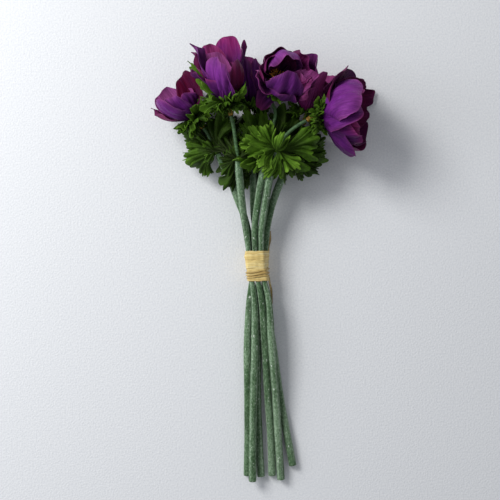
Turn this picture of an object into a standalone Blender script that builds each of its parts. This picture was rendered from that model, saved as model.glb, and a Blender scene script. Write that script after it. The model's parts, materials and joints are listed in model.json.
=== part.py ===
"""Bunch of six artificial anemones tied with raffia, lying on a table.

Each flower is a thick flocked stem, a whorl of leaves on top of it, a thin flower stalk, a taped neck,
a calyx, two layers of petals and a heart of stamens round a button. Lengths are in millimetres in the
tables and become metres through MM. The tables' origin is on the table under the middle of the tie:
+X is to the bunch's right, +Y towards the flowers and +Z up.
"""

import math

import bmesh
import bpy
from mathutils import Matrix, Vector

MM = 0.001
WELD = 0.00001

STEM_RADIUS = 3.05
STEM_RADIUS_AT_TIE = 2.0
STEM_SQUEEZE_REACH = 34.0
STEM_TOP_TAPER = 0.8
STALK_RADIUS = 1.4
STALK_STRAIGHT = 4.0
NECK_RADIUS = 1.9
NECK_LENGTH = 10.0
GAP = 0.3

TIE_HALF_LENGTH = 12.0
TIE_THICKNESS = 1.0
TIE_CLEARANCE = 0.6
TIE_SECTIONS = 5
TIE_SIDES = 26

HUB_RADIUS = 3.4
HUB_CLEARANCE = 0.5
HUB_HEIGHT = 3.6
LEAF_ROOT_RADIUS = 2.7
LEAF_THICKNESS = 0.5
LEAF_ROOT_SHARE = 0.12
LEAF_NOTCH = 0.15
LEAF_WAVES = 2.5
LEAF_WIDEST = 0.75
LEAF_FULLNESS = 0.6
LEAF_DISH = 0.01
LEAF_BEND_OUT = 0.35
LEAF_BEND_UP = 0.15

# Die-cut layers of a head: how many lobes, how deep the cuts between them go, where the first lobe points,
# and the grid that carries them.
LAYERS = {
    "calyx": {
        "slot": "leaf", "thickness": 0.6, "lobes": 8, "notch": 0.35, "turn": 0.0, "grid": (20, 2),
    },
    "outer_petals": {
        "slot": "petal", "thickness": 0.8, "lobes": 5, "notch": 0.30, "turn": 0.0, "grid": (25, 4),
    },
    "inner_petals": {
        "slot": "inner_petal", "thickness": 0.8, "lobes": 5, "notch": 0.30, "turn": 36.0, "grid": (20, 4),
    },
}
LOBE_ROUNDNESS = 0.7
LAYER_GAP = 0.5
HEART_HOLE_RADIUS = 1.5
PROFILE_STEPS = 24
PROFILE_BEND = 1.2

BUTTON_RADIUS = 3.6
STAMEN_REACH = 3.4
STAMEN_HEIGHT = 5.0
HEART_MARGIN = 2.6
HEART_CLEARANCE = 0.6

PRESS_DEPTH = 7.0
PRESS_LIMIT = 0.7

COLOURS = {
    "stem": (0.100, 0.145, 0.090, 1.0),
    "stalk": (0.045, 0.130, 0.040, 1.0),
    "tape": (0.300, 0.190, 0.030, 1.0),
    "leaf": (0.045, 0.095, 0.015, 1.0),
    "petal": (0.130, 0.022, 0.150, 1.0),
    "inner_petal": (0.080, 0.010, 0.080, 1.0),
    "button": (0.010, 0.008, 0.016, 1.0),
    "stamen": (0.280, 0.120, 0.015, 1.0),
    "raffia": (0.640, 0.480, 0.200, 1.0),
}

# stem: middle line from the cut end, through the tie at y = 0, to the top; stalk: its own points above.
# base: top of the neck, under the flower; axis: the way the flower faces; neck: the way the neck comes
# in, where that isn't the axis.
# outer_petals, inner_petals, calyx: length, and the angle to the axis at the foot and at the rim.
# press: how far up the axis the head's ball is centred, and its radius, which say where two neighbouring
# heads flatten against each other; heart: the size of button and stamens, where that isn't 1.
# leaves: heading in the plane of the table, rise above it, length and width.
FLOWERS = {
    "far_left": {
        "stem": [
            (-7.2, -166.7, 3.2), (-6.7, -138.6, 4.2), (-6.7, -106.4, 6.2), (-7.1, -58.6, 9.0),
            (-5.5, -26.9, 10.5), (-2.9, 0.0, 11.9), (-4.2, 16.4, 12.3), (-6.4, 27.4, 12.6),
            (-10.0, 40.0, 13.2), (-14.5, 51.7, 14.8), (-20.7, 68.7, 17.0), (-27.6, 82.4, 20.0),
            (-30.2, 87.2, 21.2),
        ],
        "stalk": [(-31.1, 89.2, 21.6), (-34.8, 96.6, 21.6)],
        "base": (-48.0, 115.0, 24.0),
        "axis": (-0.62, 0.74, 0.20),
        "outer_petals": (35.0, 86.0, -16.0),
        "inner_petals": (28.0, 76.0, -8.0),
        "calyx": (23.0, 92.0, 80.0),
        "press": (12.0, 23.0),
        "leaves": [(175, 10, 26, 18), (232, 2, 22, 15), (96, 22, 30, 22), (55, -8, 22, 14)],
    },
    "left": {
        "stem": [
            (-3.1, -170.1, 8.4), (-3.0, -137.4, 9.6), (-2.4, -105.6, 11.1), (-1.3, -58.1, 14.1),
            (-1.8, -26.6, 15.7), (-5.2, 0.0, 16.1), (-6.7, 16.4, 17.3), (-8.2, 27.3, 18.6),
            (-10.1, 39.7, 20.2), (-12.1, 56.6, 23.5), (-13.5, 72.4, 28.0), (-14.2, 80.6, 30.8),
        ],
        "stalk": [(-14.4, 83.0, 31.6), (-16.0, 94.5, 34.6)],
        "base": (-22.0, 123.5, 43.5),
        "axis": (-0.08, 0.93, 0.36),
        "outer_petals": (52.0, 62.0, -14.0),
        "inner_petals": (43.0, 50.0, -20.0),
        "calyx": (21.0, 86.0, 60.0),
        "press": (20.0, 26.0),
        "leaves": [(46, -4, 20, 16), (-52, 8, 16, 13), (160, -4, 14, 12)],
    },
    "inner_left": {
        "stem": [
            (3.7, -167.5, 3.2), (2.1, -138.7, 3.6), (0.9, -106.6, 5.0), (1.2, -58.7, 8.1),
            (1.0, -26.9, 10.3), (1.6, 0.0, 11.9), (1.2, 16.4, 11.8), (-0.4, 27.4, 11.6),
            (-2.0, 40.0, 11.8), (-2.3, 51.8, 12.5), (-2.4, 63.5, 13.5), (-2.4, 75.4, 14.8),
        ],
        "stalk": [(-2.4, 78.0, 15.1), (-3.6, 91.5, 16.6)],
        "base": (-5.9, 122.1, 20.0),
        "axis": (0.12, 0.95, 0.10),
        "outer_petals": (40.0, 50.0, -8.0),
        "inner_petals": (31.0, 34.0, -14.0),
        "calyx": (14.0, 84.0, 58.0),
        "heart": 0.6,
        "press": (18.0, 18.0),
        "leaves": [(235, -16, 28, 14), (142, 2, 20, 14), (28, -6, 22, 15)],
    },
    "middle": {
        "stem": [
            (12.4, -166.7, 3.2), (11.6, -138.6, 4.3), (9.2, -106.4, 6.5), (6.3, -58.3, 11.9),
            (3.8, -26.6, 15.5), (-0.7, 0.0, 16.1), (-1.4, 16.4, 16.9), (-1.6, 27.3, 17.7),
            (-0.4, 39.7, 19.0), (1.3, 51.3, 21.0), (4.2, 68.8, 25.0), (7.2, 83.2, 28.0),
            (8.0, 87.0, 29.0),
        ],
        "stalk": [(8.7, 89.8, 29.8), (11.6, 103.0, 30.0), (14.2, 120.0, 26.5)],
        "base": (15.0, 138.0, 38.0),
        "axis": (0.0, 0.52, 0.85),
        "outer_petals": (40.0, 90.0, -26.0),
        "inner_petals": (33.0, 78.0, -24.0),
        "calyx": (22.0, 94.0, 84.0),
        "press": (12.0, 28.0),
        "leaves": [(214, 20, 22, 14), (241, -2, 18, 12)],
    },
    "right": {
        "stem": [
            (19.5, -169.5, 4.5), (17.4, -138.0, 7.0), (15.4, -105.8, 9.8), (11.5, -57.9, 15.5),
            (9.4, -26.6, 15.7), (3.8, 0.0, 16.1), (3.7, 16.4, 17.9), (3.8, 27.3, 19.8),
            (5.5, 39.6, 21.5), (7.3, 51.2, 23.2), (10.1, 68.6, 27.0), (13.6, 82.9, 30.5),
            (15.0, 87.2, 31.6),
        ],
        "stalk": [(16.0, 89.8, 32.5), (20.0, 97.0, 34.0)],
        "base": (47.6, 113.4, 37.0),
        "neck": (0.88, 0.47, 0.10),
        "axis": (0.93, 0.17, 0.30),
        "outer_petals": (54.0, 78.0, -4.0),
        "inner_petals": (45.0, 68.0, -10.0),
        "calyx": (20.0, 92.0, 78.0),
        "press": (24.0, 30.0),
        "leaves": [(-2, 6, 36, 22), (262, 34, 27, 20), (139, 35, 24, 13), (68, -10, 28, 18)],
    },
    "inner_right": {
        "stem": [
            (28.9, -158.7, 3.2), (25.2, -138.8, 3.4), (19.2, -106.8, 4.0), (12.3, -58.6, 8.8),
            (7.1, -26.9, 10.3), (6.1, 0.0, 11.9), (7.4, 16.4, 12.5), (8.2, 27.4, 13.3),
            (10.2, 39.9, 14.5), (15.2, 57.0, 17.0), (21.7, 73.2, 19.5), (24.4, 80.0, 20.2),
        ],
        "stalk": [(25.5, 82.5, 20.6), (30.0, 95.0, 21.0)],
        "base": (39.5, 119.6, 20.5),
        "axis": (0.38, 0.92, 0.05),
        "outer_petals": (34.0, 60.0, -18.0),
        "inner_petals": (27.0, 44.0, -22.0),
        "calyx": (11.0, 84.0, 66.0),
        "heart": 0.4,
        "press": (15.0, 17.0),
        "leaves": [(330, -10, 28, 16), (8, -20, 38, 18), (108, 6, 24, 14), (285, 10, 16, 12)],
    },
}

TIE_TAILS = {
    "raffia_tail_up": [(9.4, 10.4, 8.8), (9.6, 15.5, 7.6), (10.8, 21.0, 8.2), (10.9, 27.5, 9.4)],
    "raffia_tail_down": [(11.3, -8.5, 11.8), (11.9, -14.0, 10.2), (13.0, -22.0, 7.6), (12.6, -30.0, 5.8)],
}
TAIL_WIDTH = 2.0
TAIL_THICKNESS = 0.5


def clear_scene():
    """Removes every object, so that the script can be run again."""
    for old in list(bpy.data.objects):
        bpy.data.objects.remove(old, do_unlink=True)


def collection_named(name):
    """A new collection linked to the scene."""
    made = bpy.data.collections.new(name)
    bpy.context.scene.collection.children.link(made)
    return made


def material_for(slot, roughness=0.8):
    """The Principled material of a slot, made once."""
    found = bpy.data.materials.get(slot)
    if found:
        return found
    made = bpy.data.materials.new(slot)
    made.use_nodes = True
    shader = made.node_tree.nodes["Principled BSDF"]
    shader.inputs["Base Color"].default_value = COLOURS[slot]
    shader.inputs["Roughness"].default_value = roughness
    shader.inputs["Metallic"].default_value = 0.0
    return made


def add_object(name, data, slot, folder):
    """Links an object with its own material."""
    made = bpy.data.objects.new(name, data)
    folder.objects.link(made)
    data.materials.append(material_for(slot))
    return made


def facing(origin, axis):
    """The matrix whose Z is axis, X the side of it nearest +Z of the world and Y to its right."""
    along = Vector(axis).normalized()
    front = (Vector((0, 0, 1)) - along.z * along).normalized()
    right = along.cross(front)
    turned = Matrix((front, right, along)).transposed().to_4x4()
    return Matrix.Translation(Vector(origin) * MM) @ turned


def add_rod(name, points, radii, slot, folder, steps=2):
    """A round rod along a smooth curve, with its own radius at each point."""
    curve = bpy.data.curves.new(name, "CURVE")
    curve.dimensions = "3D"
    curve.bevel_depth = MM
    curve.bevel_resolution = 2
    curve.resolution_u = steps
    curve.use_fill_caps = True
    line = curve.splines.new("BEZIER")
    line.bezier_points.add(len(points) - 1)
    for knot, point, radius in zip(line.bezier_points, points, radii):
        knot.co = Vector(point) * MM
        knot.radius = radius
        knot.handle_left_type = "AUTO"
        knot.handle_right_type = "AUTO"
    return add_object(name, curve, slot, folder)


def stem_radius(y):
    """The foam stem is squeezed under the tie and swells to its full radius away from it."""
    squeeze = math.exp(-((y / STEM_SQUEEZE_REACH) ** 2))
    return STEM_RADIUS - (STEM_RADIUS - STEM_RADIUS_AT_TIE) * squeeze


def add_stem(name, flower, folder):
    """The thick stem from its cut end to its slightly narrower top."""
    points = flower["stem"]
    radii = [stem_radius(point[1]) for point in points]
    radii[-1] *= STEM_TOP_TAPER
    add_rod(name + "_stem", points, radii, "stem", folder)


def add_stalk(name, flower, folder):
    """The thin stalk from inside the leaf whorl to the neck, and the taped neck under the flower."""
    axis = Vector(flower["axis"]).normalized()
    neck_way = Vector(flower.get("neck", flower["axis"])).normalized()
    neck_top = Vector(flower["base"]) - axis * GAP
    neck_middle = neck_top - axis * NECK_LENGTH / 2
    neck_foot = neck_middle - neck_way * NECK_LENGTH / 2
    foot = neck_foot - neck_way * 2 * GAP
    top = Vector(flower["stem"][-1])
    start = top + (Vector(flower["stalk"][0]) - top).normalized() * GAP
    points = [start, *map(Vector, flower["stalk"]), foot - neck_way * STALK_STRAIGHT, foot]
    add_rod(name + "_stalk", points, [STALK_RADIUS] * len(points), "stalk", folder)
    radii = [STALK_RADIUS, NECK_RADIUS, NECK_RADIUS]
    add_rod(name + "_neck_tape", [neck_foot, neck_middle, neck_top], radii, "tape", folder, steps=1)


def grid_surface(name, columns, rows, place, slot, folder, thickness, closed):
    """An open grid of columns by rows, each corner put at place(u, v), thickened by Solidify."""
    surface = bmesh.new()
    bmesh.ops.create_grid(surface, x_segments=columns, y_segments=rows, size=0.5)
    for corner in surface.verts:
        corner.co = Vector(place(corner.co.x + 0.5, corner.co.y + 0.5)) * MM
    if closed:
        bmesh.ops.remove_doubles(surface, verts=surface.verts, dist=WELD)
    bmesh.ops.recalc_face_normals(surface, faces=surface.faces)
    mesh = bpy.data.meshes.new(name)
    surface.to_mesh(mesh)
    surface.free()
    mesh.shade_smooth()
    made = add_object(name, mesh, slot, folder)
    wall = made.modifiers.new("wall", "SOLIDIFY")
    wall.thickness = thickness * MM
    wall.offset = 0.0
    return made


def profile(length, foot_angle, rim_angle, start_radius):
    """Radius and height above the base along a petal, whose slope turns from foot to rim."""
    radius, height = start_radius, 0.0
    line = [(radius, height)]
    for step in range(PROFILE_STEPS):
        share = (step + 0.5) / PROFILE_STEPS
        angle = math.radians(foot_angle + (rim_angle - foot_angle) * share**PROFILE_BEND)
        radius += math.sin(angle) * length / PROFILE_STEPS
        height += math.cos(angle) * length / PROFILE_STEPS
        line.append((radius, height))
    return line


def along_profile(line, share):
    """The point at this share of a profile's length."""
    place = min(max(share, 0.0), 1.0) * PROFILE_STEPS
    step = min(int(place), PROFILE_STEPS - 1)
    part = place - step
    return tuple(a + (b - a) * part for a, b in zip(line[step], line[step + 1]))


def seat_on(line, radius, clearance):
    """The height at which a point at this radius stands this far off a profile's surface."""
    for (r0, h0), (r1, h1) in zip(line, line[1:]):
        if r1 >= radius:
            slope = math.hypot(r1 - r0, h1 - h0) / (r1 - r0)
            return h0 + (h1 - h0) * (radius - r0) / (r1 - r0) + clearance * slope
    return line[-1][1]


def press_walls():
    """For each head, the planes (normal, distance) that it may not pass: its neighbours' and the table."""
    balls = {}
    for name, flower in FLOWERS.items():
        rise, radius = flower["press"]
        axis = Vector(flower["axis"]).normalized()
        balls[name] = (Vector(flower["base"]) + axis * rise, radius)
    walls = {}
    for name, (centre, radius) in balls.items():
        walls[name] = [(Vector((0, 0, -1)), 0.0)]
        for other, (other_centre, other_radius) in balls.items():
            between = other_centre - centre
            if other == name or between.length > radius + other_radius:
                continue
            share = (between.length_squared + radius**2 - other_radius**2) / (2 * between.length_squared)
            normal = between.normalized()
            walls[name].append((normal, normal.dot(centre + between * share)))
    return walls


def pressed(point, walls):
    """A point moved off each wall: the last PRESS_DEPTH before it is squeezed, and nothing crosses it."""
    place = Vector(point)
    room = PRESS_DEPTH - PRESS_LIMIT
    for normal, distance in walls:
        inside = distance - normal.dot(place)
        if inside < PRESS_DEPTH:
            kept = PRESS_LIMIT + room * math.exp((inside - PRESS_DEPTH) / room)
            place += normal * (inside - kept)
    return place


def layer_step(flower, layer):
    """How far along the axis a layer stands off the one under it, to clear it at its foot."""
    foot_angle = math.radians(flower[layer][1])
    return (LAYERS[layer]["thickness"] + LAYER_GAP) / math.sin(foot_angle)


def add_layer(name, flower, layer, rise, walls, folder):
    """A lobed cup round the flower's axis: its calyx or a layer of petals, pressed by its neighbours."""
    cut = LAYERS[layer]
    line = profile(*flower[layer], HEART_HOLE_RADIUS)
    frame = facing(flower["base"], flower["axis"])

    def place(u, v):
        theta = 2 * math.pi * u
        lobe = abs(math.cos(cut["lobes"] * (theta - math.radians(cut["turn"])) / 2)) ** LOBE_ROUNDNESS
        radius, height = along_profile(line, v * (1 - cut["notch"] * (1 - lobe)))
        local = Vector((radius * math.cos(theta), radius * math.sin(theta), height + rise)) * MM
        return pressed(frame @ local / MM, walls)

    columns, rows = cut["grid"]
    grid_surface(
        f"{name}_{layer}", columns, rows, place, cut["slot"], folder, cut["thickness"], closed=True
    )
    return line


def add_turned(name, outline, slot, folder, frame, steps, closed):
    """A turned solid: an outline of (radius, height) points spun round the Z of its frame."""
    mesh = bpy.data.meshes.new(name)
    edges = [(i, i + 1) for i in range(len(outline) - 1)]
    if closed:
        edges.append((len(outline) - 1, 0))
    mesh.from_pydata([(r * MM, 0, h * MM) for r, h in outline], edges, [])
    made = add_object(name, mesh, slot, folder)
    made.matrix_world = frame
    spin = made.modifiers.new("spin", "SCREW")
    spin.steps = steps
    spin.render_steps = steps
    spin.use_smooth_shade = True
    spin.use_merge_vertices = True
    spin.merge_threshold = WELD
    return made


def add_heart(name, flower, inner_line, rise, folder):
    """The dark button and the ring of stamens round it, resting in the inner petals."""
    frame = facing(flower["base"], flower["axis"])
    clearance = LAYERS["inner_petals"]["thickness"] / 2 + HEART_CLEARANCE
    widest = max(radius for radius, height in inner_line) - HEART_MARGIN
    share = min(flower.get("heart", 1.0), widest / (BUTTON_RADIUS + GAP + STAMEN_REACH))
    radius = BUTTON_RADIUS * share
    foot = seat_on(inner_line, radius, clearance) + rise
    arc = [math.radians(degrees) for degrees in (90, 65, 40, 15)]
    button = [(radius * math.cos(angle), foot + radius * math.sin(angle)) for angle in arc]
    button += [(radius, foot), (0.0, foot)]
    add_turned(name + "_button", button, "button", folder, frame, 12, closed=False)
    ring_in = radius + GAP
    ring_out = ring_in + STAMEN_REACH * share
    foot_out = (ring_in + ring_out) / 2
    foot = seat_on(inner_line, foot_out, clearance) + rise
    top = foot + STAMEN_HEIGHT * share
    ring = [(ring_in, top - 1.0), (foot_out, top), (ring_out, top - 1.0), (foot_out, foot), (ring_in, foot)]
    add_turned(name + "_stamens", ring, "stamen", folder, frame, 12, closed=True)


def add_leaf_blade(name, hub, hub_axis, leaf, folder):
    """One leaf of a whorl: a lobed blade that leaves the hub sideways and bends to its own heading."""
    heading, rise, length, width = leaf
    turn, lift = math.radians(heading), math.radians(rise)
    along = Vector((math.cos(turn) * math.cos(lift), math.sin(turn) * math.cos(lift), math.sin(lift)))
    across = along.cross(Vector((0, 0, 1))).normalized()
    out = (along - hub_axis * along.dot(hub_axis)).normalized()
    root = hub + out * LEAF_ROOT_RADIUS
    bend = root + (out * LEAF_BEND_OUT + hub_axis * LEAF_BEND_UP) * length
    tip = root + along * length

    def place(u, v):
        middle = root * (1 - v) ** 2 + bend * 2 * v * (1 - v) + tip * v**2
        tangent = ((bend - root) * (1 - v) + (tip - bend) * v).normalized()
        side_way = (across - tangent * across.dot(tangent)).normalized()
        lobes = 1.0 - LEAF_NOTCH * (1 + math.cos(2 * math.pi * LEAF_WAVES * v)) / 2
        outline = math.sin(math.pi * v**LEAF_WIDEST) ** LEAF_FULLNESS
        share = max(LEAF_ROOT_SHARE, outline * lobes)
        side = (u - 0.5) * width * share
        return middle + side_way * side + side_way.cross(tangent) * side * side * LEAF_DISH

    blade = grid_surface(name, 4, 6, place, "leaf", folder, LEAF_THICKNESS, closed=False)
    blade.modifiers.new("triangles", "TRIANGULATE")
    return blade


def add_whorl(name, flower, folder, cutters):
    """A ring on the stem's top, round the stalk, with its leaves joined to it."""
    top = Vector(flower["stem"][-1])
    hub_axis = (Vector(flower["stalk"][0]) - top).normalized()
    foot = top + hub_axis * GAP
    hub = foot + hub_axis * HUB_HEIGHT / 2
    hole = STALK_RADIUS + HUB_CLEARANCE
    ring = [(hole, HUB_HEIGHT), (HUB_RADIUS, HUB_HEIGHT), (HUB_RADIUS, 0.0), (hole, 0.0)]
    whorl = add_turned(name + "_leaves", ring, "leaf", folder, facing(foot, hub_axis), 14, closed=True)
    whorl.modifiers.new("triangles", "TRIANGULATE")
    for number, leaf in enumerate(flower["leaves"], 1):
        blade = add_leaf_blade(f"{name}_blade_{number}", hub, hub_axis, leaf, cutters)
        blade.hide_render = True
        blade.display_type = "WIRE"
        join = whorl.modifiers.new(f"join_{number}", "BOOLEAN")
        join.operation = "UNION"
        join.object = blade


def stems_at(y):
    """Centre and radius of each stem where it crosses the plane at y, in X and Z."""
    found = []
    for flower in FLOWERS.values():
        points = flower["stem"]
        for (x0, y0, z0), (x1, y1, z1) in zip(points, points[1:]):
            if y0 <= y <= y1:
                share = (y - y0) / (y1 - y0)
                found.append((x0 + (x1 - x0) * share, z0 + (z1 - z0) * share, stem_radius(y)))
    return found


def bundle_reach(circles, centre, angle):
    """How far a tight loop round the circles lies from the centre, in this direction."""
    reach = math.inf
    for step in range(72):
        normal = math.radians(step * 5)
        facing_it = math.cos(angle - normal)
        if facing_it < 0.2:
            continue
        support = max(
            (x - centre[0]) * math.cos(normal) + (z - centre[1]) * math.sin(normal) + radius
            for x, z, radius in circles
        )
        reach = min(reach, support / facing_it)
    return reach


def add_tie(folder):
    """The raffia band: a closed sleeve that follows the stems' common outline, and its two tails."""
    offset = TIE_CLEARANCE + TIE_THICKNESS / 2

    def place(u, v):
        y = TIE_HALF_LENGTH * (2 * v - 1)
        circles = stems_at(y)
        centre = (sum(c[0] for c in circles) / len(circles), sum(c[1] for c in circles) / len(circles))
        angle = -2 * math.pi * u
        reach = bundle_reach(circles, centre, angle) + offset
        return (centre[0] + reach * math.cos(angle), y, centre[1] + reach * math.sin(angle))

    grid_surface(
        "raffia_band", TIE_SIDES, TIE_SECTIONS, place, "raffia", folder, TIE_THICKNESS, closed=True
    )
    for name, route in TIE_TAILS.items():
        add_tail(name, route, folder)


def add_tail(name, route, folder):
    """A loose end of the raffia: a flat strip along its route."""

    def place(u, v):
        step = min(int(v * (len(route) - 1)), len(route) - 2)
        share = v * (len(route) - 1) - step
        middle = Vector(route[step]).lerp(Vector(route[step + 1]), share)
        return middle + Vector(((u - 0.5) * TAIL_WIDTH, 0, 0))

    grid_surface(name, 1, 9, place, "raffia", folder, TAIL_THICKNESS, closed=False)


def add_flower(name, flower, walls, folder, cutters):
    """All the pieces of one flower, from its cut end to its heart."""
    add_stem(name, flower, folder)
    add_whorl(name, flower, folder, cutters)
    add_stalk(name, flower, folder)
    add_layer(name, flower, "calyx", LAYERS["calyx"]["thickness"] / 2, walls, folder)
    outer_rise = layer_step(flower, "outer_petals")
    add_layer(name, flower, "outer_petals", outer_rise, walls, folder)
    inner_rise = outer_rise + layer_step(flower, "inner_petals")
    inner_line = add_layer(name, flower, "inner_petals", inner_rise, walls, folder)
    add_heart(name, flower, inner_line, inner_rise, folder)


def centre_on_origin(folder, cutters):
    """Hangs every piece and cutter on an empty that brings the underside's middle to the origin."""
    bpy.context.view_layer.update()
    graph = bpy.context.evaluated_depsgraph_get()
    corners = []
    for piece in folder.objects:
        solid = piece.evaluated_get(graph)
        mesh = solid.to_mesh()
        corners += [solid.matrix_world @ vertex.co for vertex in mesh.vertices]
        solid.to_mesh_clear()
    low = Vector([min(corner[i] for corner in corners) for i in range(3)])
    high = Vector([max(corner[i] for corner in corners) for i in range(3)])
    holder = bpy.data.objects.new("bunch_middle", None)
    holder.location = (-(low.x + high.x) / 2, -(low.y + high.y) / 2, -low.z)
    for piece in [*folder.objects, *cutters.objects]:
        piece.parent = holder
    folder.objects.link(holder)


def main():
    """Builds the tied bunch."""
    clear_scene()
    folder = collection_named("anemone_bunch")
    cutters = collection_named("cutters")
    walls = press_walls()
    for name, flower in FLOWERS.items():
        add_flower(name, flower, walls[name], folder, cutters)
    add_tie(folder)
    centre_on_origin(folder, cutters)


main()
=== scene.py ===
"""Looks of a bunch of six artificial purple anemones, tied with raffia and lying on a pale table.

HEADS, STEMS and the sizes are in millimetres, measured from the point on the table under the middle of the
tie: +X to the bunch's right, +Y towards the flowers, +Z up. BAND_MIDDLE is where the tie's middle lies in
them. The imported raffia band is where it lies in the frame, and SHIFT takes one to the other.
"""

import json
import logging
import math
from dataclasses import dataclass, field
from enum import Enum

import bpy
import numpy as np
from mathutils import Matrix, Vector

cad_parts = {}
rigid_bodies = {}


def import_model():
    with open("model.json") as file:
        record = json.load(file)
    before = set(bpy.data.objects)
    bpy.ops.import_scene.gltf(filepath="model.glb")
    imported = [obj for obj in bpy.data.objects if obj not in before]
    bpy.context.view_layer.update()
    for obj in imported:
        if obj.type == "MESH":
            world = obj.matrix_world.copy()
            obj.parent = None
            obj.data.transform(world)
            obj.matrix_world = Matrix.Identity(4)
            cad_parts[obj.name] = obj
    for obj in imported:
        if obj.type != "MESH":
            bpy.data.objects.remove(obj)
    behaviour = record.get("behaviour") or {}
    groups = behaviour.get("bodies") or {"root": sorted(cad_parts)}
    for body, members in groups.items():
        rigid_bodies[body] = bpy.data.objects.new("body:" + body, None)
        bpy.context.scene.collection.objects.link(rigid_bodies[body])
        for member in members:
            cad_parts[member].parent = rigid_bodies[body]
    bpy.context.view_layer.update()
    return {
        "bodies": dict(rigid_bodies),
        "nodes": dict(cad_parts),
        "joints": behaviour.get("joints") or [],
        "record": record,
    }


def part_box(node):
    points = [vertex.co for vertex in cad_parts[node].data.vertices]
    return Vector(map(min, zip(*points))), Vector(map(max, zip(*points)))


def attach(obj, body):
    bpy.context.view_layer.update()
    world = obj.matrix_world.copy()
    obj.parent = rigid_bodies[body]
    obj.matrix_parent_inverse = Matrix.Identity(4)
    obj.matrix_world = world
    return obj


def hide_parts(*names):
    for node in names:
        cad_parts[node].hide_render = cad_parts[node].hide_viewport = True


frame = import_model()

MM = 0.001
BODY = "root"
BAND_MIDDLE = (0.3874, -0.010, 14.3004)
SHIFT = np.mean([np.array(corner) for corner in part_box("raffia_band")], axis=0) / MM - np.array(BAND_MIDDLE)

# Stems, stalks and necks; a grid is (points along, points round), and a seam's width is in radians.
STEM_RADIUS = 3.05
STEM_RADIUS_AT_TIE = 2.0
STEM_SQUEEZE_REACH = 34.0
STEM_GRID = (190, 28)
SEAM_WIDTH = 0.2
STALK_RADIUS = 1.4
STALK_GRID = (150, 16)
WRAP_PITCH = 2.3
NECK_RADIUS = 1.9
NECK_LENGTH = 10.0
NECK_TURNS = 5.5
NECK_GRID = (70, 18)
HUB_RISE = 2.1
HUB_RADIUS = 1.7

# Flowers and leaves; the petals' grid is (points across, points along).
PETAL_GRID = (37, 33)
PETAL_STEPS = 240
PETAL_FOOT_RADIUS = 1.5
PETAL_THICKNESS = 0.5
PETAL_EDGE_THICKNESS = 0.25
LEAF_ROWS = 13
LEAF_COLUMNS_PER_LOBE = 18
LEAF_THICKNESS = 0.42
BEADS = 46
THREADS = 84
GOLDEN_ANGLE = 2.39996

# The tie: (points round the stems, points round the strip), and (points across, points along).
TURN_GRID = (220, 18)
TAIL_GRID = (9, 60)
TAIL_THICKNESS = 0.34

# How near a wall a petal or a leaf begins to give way, and how near it can come.
PRESS_DEPTH = 7.0
PRESS_LIMIT = 0.7
UP = np.array([0.0, 0.0, 1.0])
TABLE_WALL = (np.array([0.0, 0.0, -1.0]), 0.0)

Array = np.ndarray
Material = bpy.types.Material
Socket = bpy.types.NodeSocket

log = logging.getLogger("anemones")


# ---------------------------------------------------------------- numbers and lines


def unit(vectors: Array) -> Array:
    """Each vector of the last axis divided by its length."""
    return vectors / np.maximum(np.linalg.norm(vectors, axis=-1, keepdims=True), 1e-12)


def smooth_line(points: list, steps: int) -> Array:
    """A smooth curve through the points, by arc length.

    Between two points it is the cubic whose slope at each is the mean of the slopes on its two sides,
    each weighted by the other side's length.

    Args:
        points: the points that it passes through.
        steps: how many points it returns.

    Returns:
        Points along the curve, one per row.
    """
    p = np.asarray(points, float)
    gaps = np.linalg.norm(np.diff(p, axis=0), axis=1)
    slopes = np.diff(p, axis=0) / gaps[:, None]
    inner = slopes[:-1] * gaps[1:, None] + slopes[1:] * gaps[:-1, None]
    inner /= (gaps[:-1] + gaps[1:])[:, None]
    tangents = np.vstack([slopes[:1], inner, slopes[-1:]])
    along = np.concatenate([[0.0], np.cumsum(gaps)])
    place = np.linspace(0.0, along[-1], steps)
    i = np.clip(np.searchsorted(along, place, side="right") - 1, 0, len(gaps) - 1)
    f = ((place - along[i]) / gaps[i])[:, None]
    g = gaps[i][:, None]
    start = p[i] * (1 + 2 * f) * (1 - f) ** 2 + tangents[i] * g * f * (1 - f) ** 2
    return start + p[i + 1] * f**2 * (3 - 2 * f) + tangents[i + 1] * g * f**2 * (f - 1)


def wobble(x: Array, y: Array, seed: int, waves: int = 4) -> Array:
    """A smooth irregular height from -1 to 1: a mean of sines of x and y with seeded turns and phases.

    Args:
        x: first coordinate, whose features are about 1 long.
        y: second coordinate, likewise.
        seed: which of the patterns.
        waves: how many sines it sums.

    Returns:
        The height at each place.
    """
    draw = np.random.default_rng(seed)
    total = np.zeros(np.broadcast(x, y).shape)
    for _ in range(waves):
        turn, phase, speed = draw.uniform(0, 2 * math.pi, 3)
        pace = 3.0 + speed * 0.6
        total += np.sin(pace * (x * math.cos(turn) + y * math.sin(turn)) + phase)
    return total / waves * 1.4


def smoothstep(low: float, high: float, value: Array) -> Array:
    """0 below low, 1 above high, and a smooth rise between them."""
    share = np.clip((value - low) / (high - low), 0.0, 1.0)
    return share * share * (3 - 2 * share)


def circle(corners: int) -> Array:
    """Angles evenly round a circle, from 0."""
    return np.linspace(0, 2 * math.pi, corners, endpoint=False)


def share_grid(columns: int, rows: int) -> list:
    """Across from -1 to 1 and along from 0 to 1, each as a grid (columns, rows)."""
    return np.meshgrid(np.linspace(-1, 1, columns), np.linspace(0, 1, rows), indexing="ij")


def quads_of(grid: Array) -> Array:
    """The four corners of each cell of a grid of point numbers."""
    return np.stack([grid[:-1, :-1], grid[1:, :-1], grid[1:, 1:], grid[:-1, 1:]], axis=-1).reshape(-1, 4)


def head_frame(axis: tuple) -> Array:
    """The frame of a flower head.

    Args:
        axis: the way the head faces.

    Returns:
        Rows: its side nearest the sky, the side to its right, and the way it faces.
    """
    along = unit(np.asarray(axis, float))
    front = unit(UP - along[2] * along)
    return np.array([front, np.cross(along, front), along])


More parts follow.
